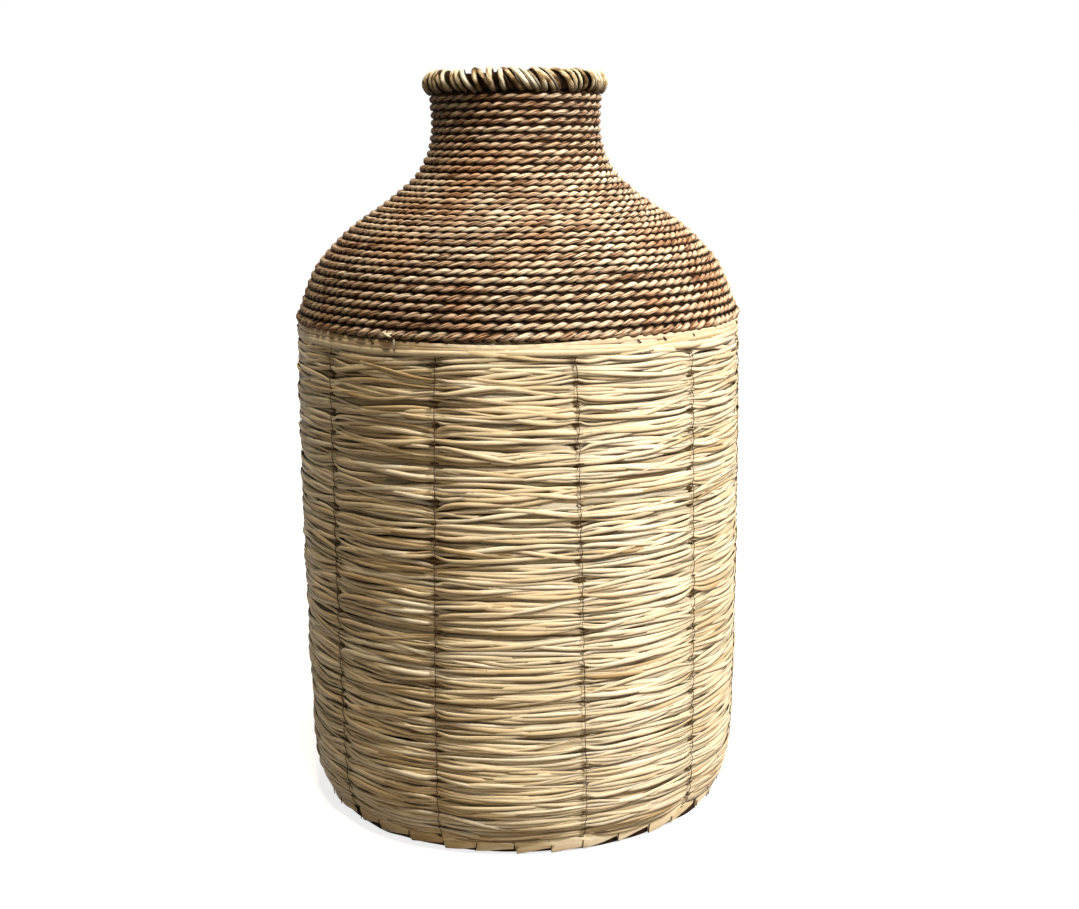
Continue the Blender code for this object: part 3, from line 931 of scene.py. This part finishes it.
def add_neck_rope(tree, strands, finish, shaded):
    line = rope_line(NECK_ROPE_DIAMETER)
    top = line.lengths[-1] - NECK_ROPE_DIAMETER / 2
    bottom = line.length_at(NECK_INDEX) + (SHOULDER_ROPE_DIAMETER + NECK_ROPE_DIAMETER) / 2 + TURN_GAP
    pitch = (top - bottom) / (NECK_LOOPS - 1)
    path = winding_path(line, top, bottom, NECK_LOOPS, 0, NECK_LOOPS)
    width = pitch * WINDING_FULLNESS
    add_rope("neck_rope_twist", "neck_rope", path, tree, finish, width, NECK_LAY, spacing=0.0014, seed=11.0)
    add_filler("neck_filler", "neck_rope", strands, shaded, top + pitch / 2, pitch, NECK_LOOPS, line)


def add_belt_rope(tree, finish):
    radius, height = belt_middle()
    start = column_angle(BELT_JOINT_COLUMN)
    angles = np.linspace(start + BELT_JOINT_GAP, start + 2 * math.pi - BELT_JOINT_GAP, TURN_POINTS * 2)
    path = [(placed(radius, height, angle), 1.0, 0.0) for angle in angles]
    width = BELT_ROPE_DIAMETER * BELT_FULLNESS
    add_rope("belt_rope_twist", "belt_rope", path, tree, finish, width, BELT_LAY, spacing=0.002, seed=17.0)


def strand_tree():
    """Separate strands, each swept along its own spline, with uneven width and a tone of its own."""
    kinds = {
        "Width": "NodeSocketFloat",
        "Thickness": "NodeSocketFloat",
        "Point spacing": "NodeSocketFloat",
        "Roll": "NodeSocketFloat",
        "Sides": "NodeSocketInt",
        "Seed": "NodeSocketInt",
        "Core radius": "NodeSocketFloat",
        "Core height": "NodeSocketFloat",
        "Rise share": "NodeSocketFloat",
        "Material": "NodeSocketMaterial",
    }
    tree, graph, given = new_tree("strands", kinds)
    index = graph.node("GeometryNodeInputIndex")
    inputs = {2: 0.0, 3: 1.0, "ID": index, "Seed": given["Seed"]}
    tone = graph.node("FunctionNodeRandomValue", {"data_type": "FLOAT"}, inputs, output=1)
    path = store(graph, given["Geometry"], "piece", tone, domain="CURVE")
    inputs = {"Curve": path, "Length": given["Point spacing"]}
    path = graph.node("GeometryNodeResampleCurve", {"mode": "LENGTH"}, inputs)
    along = graph.node("GeometryNodeSplineParameter", output="Length")
    path = store(graph, path, "along", along)
    piece = named(graph, "piece")
    place = graph.combined(along * 22.0, piece * 91.0, 0.0)
    swell = graph.remap(graph.noise(place, 1.0, 1.0), *NOISE_RANGE, *STRAW_SWELL)
    radius = graph.node("GeometryNodeInputRadius")
    path = graph.node("GeometryNodeSetCurveRadius", None, {"Curve": path, "Radius": radius * swell})
    place = graph.combined(along * 16.0, piece * 57.0, 4.0)
    roll = (graph.noise(place, 1.0, 1.0) - 0.5) * given["Roll"]
    tilt = graph.node("GeometryNodeInputCurveTilt")
    path = graph.node("GeometryNodeSetCurveTilt", None, {"Curve": path, "Tilt": tilt + roll})
    place = graph.node("GeometryNodeInputPosition")
    path = store(graph, path, "centre", place, "FLOAT_VECTOR")
    core = graph.scaled(radial_direction(graph), given["Core radius"])
    away = graph.vector("SUBTRACT", graph.vector("MULTIPLY", place, LEVEL_PART), core)
    rise = graph.vector("DOT_PRODUCT", place, UPWARD).sibling("Value") - given["Core height"]
    away = graph.vector("ADD", away, graph.combined(0.0, 0.0, rise * given["Rise share"]))
    path = store(graph, path, "away", graph.vector("NORMALIZE", away), "FLOAT_VECTOR")
    mesh = swept(graph, path, given["Width"], given["Thickness"], given["Sides"])
    mesh = marked(graph, mesh, given["Thickness"] * 0.5, given["Width"] * 0.5)
    finish_tree(graph, mesh, given["Material"])
    return tree


def grow_strands(
    name, splines, tree, finish, width, thickness, sides, spacing, roll=0.0, seed=1, core=(0.0, 0.0, 0.0)
):
    """One piece of separate strands, which face away from the vase's axis or from a core that they wrap.

    The core is a ring's radius and height, and the share that height has in the outward direction.
    """
    core_radius, core_height, rise_share = core
    values = {
        "Core radius": core_radius,
        "Core height": core_height,
        "Rise share": rise_share,
        "Width": width,
        "Thickness": thickness,
        "Point spacing": spacing,
        "Roll": roll,
        "Sides": sides,
        "Seed": seed,
        "Material": finish,
    }
    return grown(curve_object(name, splines), tree, values, name)


def add_belt_tie(tree, finish):
    """The pale strand tied round the belt rope where its ends meet, and its cut end hanging below."""
    radius, height = belt_middle()
    middle = column_angle(BELT_JOINT_COLUMN)
    splines = []
    for start, end, low, high, out in TIE_STRANDS:
        points = []
        for share in np.linspace(0.0, 1.0, 9):
            aside = start + (end - start) * share
            bulge = math.sin(math.pi * share)
            rise = low + (high - low) * share
            place = placed(radius + out * (0.62 + 0.38 * bulge), height + rise, middle + aside / radius)
            points.append((place, 0.6 + 0.6 * bulge, 0.0))
        splines.append(points)
    hanging = middle + TIE_END_ASIDE / radius
    points = []
    for drop, out, size in TIE_END:
        swing = TIE_END_SWING * math.sin(drop * TIE_END_WAVES) / radius
        points.append((placed(radius + out, height - TIE_END_START - drop, hanging + swing), size, 0.0))
    splines.append(points)
    core = (radius, height, 1.0)
    make = {"sides": 7, "spacing": 0.0016, "seed": 6, "core": core}
    piece = grow_strands("belt_tie", splines, tree, finish, TIE_WIDTH, TIE_THICKNESS, **make)
    settle(piece, "pale_straw", "belt_rope")


# Straw wall


def bundle_heights(length):
    """The bundles' heights from the lowest up, which grow evenly and fill the wall's length."""
    mean = (LOWEST_BUNDLE_HEIGHT + HIGHEST_BUNDLE_HEIGHT) / 2
    count = max(2, round(length / mean))
    heights = np.linspace(LOWEST_BUNDLE_HEIGHT, HIGHEST_BUNDLE_HEIGHT, count)
    return heights * length / heights.sum()


def stitch_angle(column, height):
    """A stitch column's angle at a height: true at the belt, and off by its drift at the foot."""
    drift = COLUMN_DRIFTS[column % RIB_COUNT] * (1 - min(height / BODY_HEIGHT, 1.0))
    return column_angle(column) + math.radians(drift)


def straw_order(rng, orders, count, restless):
    """The straws' order in a bundle at each stitch column, where some change places."""
    order = list(range(count))
    made = []
    for _ in range(orders):
        made.append(list(order))
        if rng.random() < restless:
            order = [int(i) for i in rng.permutation(count)]
    return made


def straw_spline(line, bundle, straw, places, rng, restless):
    """One straw of a bundle all the way round, pinched up under the thread at each stitch column."""
    points = []
    count = len(places[0])
    pushes = rng.uniform(-STRAW_PUSH, STRAW_PUSH, RIB_COUNT + 1) * restless
    strays = rng.normal(0.0, STRAW_STRAY, RIB_COUNT + 1) * restless
    breadth = rng.uniform(*STRAW_BREADTHS)
    for bay in range(RIB_COUNT):
        peak = rng.uniform(*BULGE_PLACES)
        left, right = places[bay].index(straw), places[bay + 1].index(straw)
        bow = rng.normal(0.0, STRAW_BOW) * restless
        fall = PINCH_FALL_SHARE * rng.uniform(0.6, 1.6)
        climb = PINCH_RISE_SHARE * rng.uniform(0.6, 1.5)
        shares = BAY_SHARES if bay < RIB_COUNT - 1 else (*BAY_SHARES, 1.0)
        for share in shares:
            ease = smoothed(share)
            lane = left + (right - left) * (share + ease) / 2
            pinch = max(math.exp(-share / fall), math.exp((share - 1) / climb))
            full = (lane + 0.5) / count
            stray = between(strays[bay], strays[bay + 1], share) + bow * math.sin(math.pi * share)
            near = bay if share < 0.5 else bay + 1
            tight = bundle.lifts[near] + bundle.pinched[near] * full
            foot = between(bundle.feet[bay], bundle.feet[bay + 1], ease)
            head = between(bundle.heads[bay], bundle.heads[bay + 1], ease)
            radius, rise = line.at(foot + (head - foot) * between(full + stray, tight, pinch))
            push = between(pushes[bay], pushes[bay + 1], share)
            bulge = math.exp(-(((share - peak) / BULGE_SPREAD) ** 2))
            radius += push * (1 - PINCH_CALM * pinch) - PINCH_DEPTH * pinch
            radius += BULGE_OUT * (bulge - MEAN_BULGE) * restless
            column = WINDING_START_COLUMN + bay
            angle = between(stitch_angle(column, rise), stitch_angle(column + 1, rise), share)
            size = breadth * (THIN_STRAW_SIZE + BULGE_SIZE * bulge) * (1 - PINCH_SLIMMING * pinch)
            points.append((placed(radius, rise, angle), size, 0.0))
    return points


# A bundle at each column: its foot and head as lengths up a line, and, as shares of the way from one to
# the other, how far the thread lifts it and the height that it is pinched to
Bundle = namedtuple("Bundle", "feet heads lifts pinched")


class Wall:
    """Where the bundles lie, row by row and column by column."""

    def __init__(self):
        self.line = Outline(FRAME_POINTS, OUTER_BASE, FOOT_DRAW)
        self.inner = Outline(FRAME_POINTS, INNER_BASE, FOOT_DRAW)
        start = self.line.length_at(HEM_INDEX)
        heights = bundle_heights(self.line.length_at(BELT_INDEX) - start)
        levels = start + np.concatenate([[0.0], np.cumsum(heights)])
        wander = np.random.default_rng(21).normal(0.0, ROW_WANDER, (len(levels), RIB_COUNT))
        wander[0] = 0.0
        wander[-1] = 0.0
        self.feet = levels[:, None] + wander
        self.rows = len(heights)
        rng = np.random.default_rng(22)
        self.lifts = rng.uniform(*PINCH_LIFTS, (self.rows, RIB_COUNT))
        self.pinched = rng.uniform(*PINCHED_HEIGHTS, (self.rows, RIB_COUNT))

    def bundle(self, row):
        """One bundle, with its columns in the order in which a straw passes them."""
        order = [(WINDING_START_COLUMN + bay) % RIB_COUNT for bay in range(RIB_COUNT + 1)]
        levels = (self.feet[row], self.feet[row + 1], self.lifts[row], self.pinched[row])
        return Bundle(*(level[order] for level in levels))


def straw_rows(wall, line, count, restless, seed):
    """The splines of each row of bundles. Restless straws cross their neighbours more."""
    rng = np.random.default_rng(seed)
    rows = []
    for row in range(wall.rows):
        places = straw_order(rng, RIB_COUNT + 1, count, restless)
        bundle = wall.bundle(row)
        rows.append([straw_spline(line, bundle, straw, places, rng, restless) for straw in range(count)])
    return rows


def add_straws(wall, tree, finish, shaded):
    """The straws in view, in three parts from the foot up, and a fatter layer behind them."""
    rows = straw_rows(wall, wall.line, OUTER_STRAWS, OUTER_RESTLESSNESS, seed=7)
    share = math.ceil(len(rows) / 3)
    outer = (finish, OUTER_WIDTH, OUTER_THICKNESS)
    layers = []
    for part, level in enumerate(("lower", "middle", "upper")):
        layers.append((level, rows[part * share : (part + 1) * share], outer, OUTER_ROLL))
    rows = straw_rows(wall, wall.inner, INNER_STRAWS, INNER_RESTLESSNESS, seed=8)
    layers.append(("inner", rows, (shaded, INNER_WIDTH, INNER_THICKNESS), INNER_ROLL))
    for level, bundles, look, roll in layers:
        splines = [spline for bundle in bundles for spline in bundle]
        make = {"sides": STRAW_SIDES, "spacing": STRAW_SPACING, "roll": roll}
        piece = grow_strands(f"straw_bundles_{level}", splines, tree, *look, **make)
        settle(piece, "pale_straw", "straw_wall")


def add_top_straws(wall, tree, finish):
    """Flat straws laid round the top of the wall, just under the belt rope."""
    rng = np.random.default_rng(14)
    top = wall.line.length_at(BELT_INDEX)
    splines = []
    for drop in TOP_STRAW_DROPS:
        wander = rng.normal(0.0, TOP_STRAW_WANDER, RIB_COUNT * 2)
        wander = np.append(wander, wander[0])
        points = []
        for turn in np.linspace(0, RIB_COUNT, RIB_COUNT * 4 + 1):
            lift = np.interp(turn * 2, np.arange(len(wander)), wander)
            radius, rise = wall.line.at(top - drop + lift)
            points.append((placed(radius + TOP_STRAW_OUT, rise, column_angle(turn)), 1.0, 0.0))
        splines.append(points)
    make = {"sides": STRAW_SIDES, "spacing": STRAW_SPACING, "roll": TOP_STRAW_ROLL, "seed": 12}
    piece = grow_strands("straw_top_band", splines, tree, finish, TOP_STRAW_WIDTH, OUTER_THICKNESS, **make)
    settle(piece, "pale_straw", "straw_wall")


def add_backing(wall, finish):
    """The straws that lie behind the ones in view, as one ridged skin between them and the ribs."""
    line = Outline(FRAME_POINTS, BACKING_OUT, FOOT_DRAW)
    inner = Outline(FRAME_POINTS, BACKING_OUT - BACKING_THICKNESS, FOOT_DRAW)
    rings = []
    lengths = np.linspace(line.length_at(HEM_INDEX), line.length_at(BELT_INDEX), wall.rows * OUTER_STRAWS + 1)
    for index, length in enumerate(lengths):
        radius, height = line.at(length)
        rings.append((radius + (BACKING_RIDGE if index % 2 else 0.0), height))
    for length in np.linspace(inner.length_at(BELT_INDEX), inner.length_at(HEM_INDEX), wall.rows + 1):
        rings.append(inner.at(length))
    angles = [column_angle(i / BACKING_BAY_STEPS) for i in range(BACKING_BAY_STEPS * RIB_COUNT)]
    places = [placed(radius, height, angle) for radius, height in rings for angle in angles]
    faces = []
    around = len(angles)
    for ring in range(len(rings)):
        above = (ring + 1) % len(rings)
        for i in range(around):
            j = (i + 1) % around
            faces.append((ring * around + i, ring * around + j, above * around + j, above * around + i))
    mesh = bpy.data.meshes.new("straw_backing")
    mesh.from_pydata(places, [], faces)
    mesh.shade_smooth()
    mesh.materials.append(finish)
    piece = link(bpy.data.objects.new("straw_backing", mesh))
    settle(piece, "pale_straw", "straw_wall")


def add_stitches(wall, tree, finish):
    """The thread at each column, which passes over each bundle and dips in under it."""
    rng = np.random.default_rng(3)
    splines = []
    for column in range(RIB_COUNT):
        points = []
        for row in range(wall.rows):
            foot, head = wall.feet[row][column], wall.feet[row + 1][column]
            for share, out in STITCH_POINTS:
                radius, rise = wall.line.at(foot + (head - foot) * share)
                angle = stitch_angle(column, rise) + rng.normal(0.0, STITCH_WAVER)
                points.append((placed(radius + out, rise, angle), 1.0, 0.0))
            if rng.random() < TICK_CHANCE:
                splines.append(stitch_tick(wall, column, foot + (head - foot) * TICK_HEIGHT_SHARE, rng))
        splines.append(stitch_hook(wall, column) + points)
    splines += [belt_stitch(wall, math.radians(degrees - 90), rng) for degrees in BELT_STITCH_DEGREES]
    width = THREAD_DIAMETER
    piece = grow_strands("stitching", splines, tree, finish, width, width, sides=6, spacing=0.0022)
    settle(piece, "dark_thread", *[f"binding_cord_{column + 1:02d}" for column in range(RIB_COUNT)])


def stitch_hook(wall, column):
    """The thread's start, turned back in a small hook above the hem."""
    radius, rise = wall.line.at(wall.feet[0][column])
    middle = stitch_angle(column, rise)
    points = []
    for aside, up, out in HOOK_POINTS:
        points.append((placed(radius + out, rise + up, middle + aside / radius), HOOK_SIZE, 0.0))
    return points


def belt_stitch(wall, angle, rng):
    """A short slanting stitch that comes out from under the belt rope."""
    radius, rise = wall.line.at(wall.line.length_at(BELT_INDEX))
    reach = rng.uniform(*BELT_STITCH_REACHES) / radius
    points = []
    for share, down, out in BELT_STITCH_POINTS:
        points.append((placed(radius + out, rise - down, angle + reach * share), BELT_STITCH_SIZE, 0.0))
    return points


def stitch_tick(wall, column, length, rng):
    """A short slack bit of thread that shows where it goes in under a bundle."""
    radius, rise = wall.line.at(length)
    middle = stitch_angle(column, rise)
    side = 1 if rng.random() < TICK_TO_THE_RIGHT_CHANCE else -1
    reach = rng.uniform(*TICK_REACHES) / radius * side
    slope = rng.uniform(*TICK_SLOPES)
    points = []
    for share, out, size in TICK_POINTS:
        points.append((placed(radius + out, rise + slope * share, middle + reach * share), size, 0.0))
    return points


# Hem and rim


def add_hem(tree, finish, shaded, thread):
    """Flat strips round the bottom edge, each rising to a pointed tail, and a dark ring below the tails."""
    rng = np.random.default_rng(5)
    splines = []
    ticks = []
    step = 2 * math.pi / HEM_STRIPS
    for strip in range(HEM_STRIPS):
        start = column_angle(0) + step * (strip + rng.uniform(-HEM_UNEVENNESS, HEM_UNEVENNESS))
        climb = HEM_CLIMB * rng.uniform(*HEM_CLIMB_SHARES)
        points = []
        for share in np.linspace(0.0, 1.0, HEM_STRIP_POINTS):
            size = 1 - HEM_TAIL_NARROWING * share**HEM_TAIL_CURVE
            foot = HEM_FOOT + climb * share
            rise = foot + HEM_STRIP_WIDTH / 2 * size * math.cos(HEM_TILT)
            radius = HEM_RADIUS + HEM_TAIL_OUT * share
            points.append((placed(radius, rise, start + step * HEM_LAP * share), size, HEM_TILT))
        splines.append(points)
        lean = rng.uniform(*HEM_TICK_LEANS) / HEM_RADIUS
        tick = []
        for up in np.linspace(rng.uniform(*HEM_TICK_FEET), rng.uniform(*HEM_TICK_HEADS), 3):
            radius = HEM_RADIUS + HEM_TICK_OUT + (up - HEM_STRIP_WIDTH / 2) * math.tan(HEM_TILT)
            place = placed(radius, HEM_FOOT + up, start + lean * up / HEM_STRIP_WIDTH)
            tick.append((place, HEM_TICK_SIZE, 0.0))
        ticks.append(tick)
    lining = level_ring(HEM_RADIUS - HEM_STRIP_THICKNESS, HEM_LINING_HEIGHT, HEM_LINING_STEPS, HEM_TILT)
    strip = (finish, HEM_STRIP_WIDTH, HEM_STRIP_THICKNESS)
    piece = grow_strands("hem_strips", splines, tree, *strip, sides=16, spacing=0.0028, seed=9)
    settle(piece, "pale_straw", "straw_hem")
    strip = (thread, THREAD_DIAMETER, THREAD_DIAMETER)
    piece = grow_strands("hem_ticks", ticks, tree, *strip, sides=6, spacing=0.0015)
    settle(piece, "dark_thread", "straw_hem")
    strip = (shaded, HEM_LINING_WIDTH, HEM_LINING_THICKNESS)
    piece = grow_strands("hem_lining", [lining], tree, *strip, sides=8, spacing=0.005, seed=5)
    settle(piece, "dark_thread", "straw_hem")


def add_lashing(tree, finish, shaded):
    """Narrow strands wrapped round the rim, singly or in pairs, leaning to the left at the top."""
    rng = np.random.default_rng(11)
    splines = []
    reach = (RIM_CORE_DIAMETER + LASHING_THICKNESS) / 2 + SEAT_GAP
    for wrap in range(LASHING_WRAPS):
        aside = rng.uniform(-LASHING_UNEVENNESS, LASHING_UNEVENNESS)
        middle = 2 * math.pi * (wrap + aside) / LASHING_WRAPS
        leaning = LASHING_LEAN * rng.uniform(*LEAN_SHARES)
        for strand in range(2 if rng.random() < SECOND_STRAND_CHANCE else 1):
            start = middle + strand * LASHING_STRAND_WIDTH * SECOND_STRAND_ASIDE / RIM_RADIUS
            lean = leaning + rng.uniform(-LEAN_WAVER, LEAN_WAVER)
            size = rng.uniform(*(SECOND_STRAND_SIZES if strand else MAIN_STRAND_SIZES))
            lifts = rng.uniform(*STRAND_LIFTS, len(LIFTED_POINTS))
            turns = np.linspace(LASHING_FROM_DEGREES, LASHING_TO_DEGREES, LASHING_STRAND_POINTS)
            points = []
            for step, degrees in enumerate(turns):
                turn = math.radians(degrees)
                angle = start - lean * (degrees - LEAN_FROM_DEGREES) / LEAN_SPAN_DEGREES / RIM_RADIUS
                out = reach + np.interp(step, LIFTED_POINTS, lifts)
                place = placed(RIM_RADIUS + out * math.cos(turn), RIM_HEIGHT + out * math.sin(turn), angle)
                points.append((place, size, 0.0))
            splines.append(points)
    width = RIM_PADDING_DIAMETER
    path = level_ring(RIM_RADIUS, RIM_HEIGHT, RIM_PADDING_STEPS)
    piece = grow_strands("rim_padding", [path], tree, shaded, width, width, sides=12, spacing=0.005)
    settle(piece, "fibre_core", "rim_lashing")
    width, thickness = LASHING_STRAND_WIDTH, LASHING_STRAND_THICKNESS
    make = {"sides": 7, "spacing": 0.0026, "seed": 4, "core": (RIM_RADIUS, RIM_HEIGHT, 1.0)}
    piece = grow_strands("rim_lashing_wraps", splines, tree, finish, width, thickness, **make)
    settle(piece, "rim_lashing_cord", "rim_lashing")


# Stage, light and camera


def add_camera():
    yaw = math.radians(CAMERA_YAW_DEGREES)
    pitch = math.radians(CAMERA_PITCH_DEGREES)
    roll = math.radians(CAMERA_ROLL_DEGREES)
    level = Vector((math.sin(yaw), math.cos(yaw), 0.0))
    right = Vector((math.cos(yaw), -math.sin(yaw), 0.0))
    up = Vector(UPWARD)
    forward = level * math.cos(pitch) - up * math.sin(pitch)
    above = up * math.cos(pitch) + level * math.sin(pitch)
    across = right * math.cos(roll) + above * math.sin(roll)
    above = above * math.cos(roll) - right * math.sin(roll)
    data = bpy.data.cameras.new("camera")
    data.sensor_width = SENSOR_WIDTH_MM
    data.lens = SENSOR_WIDTH_MM * FOCAL_PX / IMAGE_WIDTH_PX
    camera = link(bpy.data.objects.new("camera", data))
    turn = Matrix((across, above, -forward)).transposed().to_4x4()
    camera.matrix_world = Matrix.Translation((0.0, -CAMERA_DISTANCE, CAMERA_HEIGHT)) @ turn
    bpy.context.scene.camera = camera


def add_light(name, place, aim, size, power, colour):
    data = bpy.data.lights.new(name, "AREA")
    data.shape = "DISK"
    data.color = colour
    data.size = size
    data.energy = power
    lamp = link(bpy.data.objects.new(name, data))
    lamp.location = place
    lamp.rotation_mode = "QUATERNION"
    lamp.rotation_quaternion = (Vector(aim) - Vector(place)).to_track_quat("-Z", "Y")


def add_floor():
    """A pale floor that reads white to the camera but for the soft shadow."""
    mesh = bpy.data.meshes.new("floor")
    corners = [(-FLOOR_REACH, -FLOOR_REACH, 0), (FLOOR_REACH, -FLOOR_REACH, 0)]
    corners += [(FLOOR_REACH, FLOOR_REACH, 0), (-FLOOR_REACH, FLOOR_REACH, 0)]
    mesh.from_pydata(corners, [], [(0, 1, 2, 3)])
    floor = link(bpy.data.objects.new("floor", mesh))
    finish, graph, shader = new_material("pale floor", 0.0)
    shader.inputs["Base Color"].default_value = FLOOR_BOUNCE
    shader.inputs["Roughness"].default_value = 0.9
    lit = graph.node("ShaderNodeBsdfDiffuse", None, {"Color": FLOOR_SHADOWED})
    far = graph.vector("LENGTH", graph.object_place()).sibling("Value")
    dim = (FLOOR_GLOW, FLOOR_GLOW, FLOOR_GLOW, 1.0)
    tone = graph.mix(graph.remap(far, NEAR_FLOOR, FAR_FLOOR), dim, WHITE)
    glow = graph.node("ShaderNodeEmission", None, {"Color": tone, "Strength": 1.0})
    seen = graph.node("ShaderNodeAddShader", None, {0: lit, 1: glow})
    show_directly(graph, Value(graph, shader.outputs[0]), seen, "Material Output")
    mesh.materials.append(finish)


def add_world():
    """A dim warm room that reads white to the camera."""
    world = bpy.data.worlds.new("studio")
    bpy.context.scene.world = world
    world.use_nodes = True
    graph = Graph(world.node_tree)
    light = world.node_tree.nodes["Background"]
    light.inputs["Color"].default_value = WORLD_TINT
    light.inputs["Strength"].default_value = WORLD_STRENGTH
    backdrop = graph.node("ShaderNodeBackground", None, {"Color": WHITE, "Strength": 1.0})
    show_directly(graph, Value(graph, light.outputs[0]), backdrop, "World Output")


def show_directly(graph, lighting, seen, end):
    """Ends a tree in one shader for the light that it sends out, and another for what is seen of it."""
    mixed = graph.node("ShaderNodeMixShader", None, {0: seen_directly(graph), 1: lighting, 2: seen})
    graph.feed(graph.tree.nodes[end].inputs["Surface"], mixed)


def seen_directly(graph):
    """1 for camera rays and for those that gloss or glass sends on, and 0 for all other light."""
    path = graph.node("ShaderNodeLightPath", None, None, "Is Camera Ray")
    shown = graph.maths("MAXIMUM", path, path.sibling("Is Glossy Ray"))
    return graph.maths("MAXIMUM", shown, path.sibling("Is Transmission Ray"))


def finish_frame_nodes():
    """Gives the CAD nodes that stay in view their finishes."""
    steel = plain_material("black coated wire")
    finishes = {"base_floor": coil_material(), "rim_core": plain_material("shaded fibre")}
    for name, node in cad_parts.items():
        if name.startswith(("frame_rib", "base_bar")) or name.endswith("_hoop"):
            finishes[name] = steel
        if name in finishes:
            for slot in node.material_slots:
                slot.material = finishes[name]


bpy.context.scene.view_settings.view_transform = "Standard"
add_camera()
add_floor()
add_world()
for lamp in LAMPS:
    add_light(*lamp)
finish_frame_nodes()
ROPE = rope_material()
STRAW = straw_material("pale straw")
THREAD = plain_material("dark thread")
LASHING = lashing_material()
STRANDS = strand_tree()
SHADED = plain_material("shaded rope")
TWIST = rope_tree()
add_shoulder_rope(TWIST, STRANDS, ROPE, SHADED)
add_neck_rope(TWIST, STRANDS, ROPE, SHADED)
add_belt_rope(TWIST, ROPE)
add_belt_tie(STRANDS, STRAW)
WALL = Wall()
add_straws(WALL, STRANDS, STRAW, straw_material("shaded straw", light=0.7))
add_top_straws(WALL, STRANDS, STRAW)
add_backing(WALL, plain_material("straw in the dark"))
add_stitches(WALL, STRANDS, THREAD)
# The hem straw is painted lighter, as its strips face down away from the lamps, and gets no painted shade.
add_hem(STRANDS, straw_material("hem straw", light=1.15, painted_shade=False), SHADED, THREAD)
add_lashing(STRANDS, LASHING, SHADED)
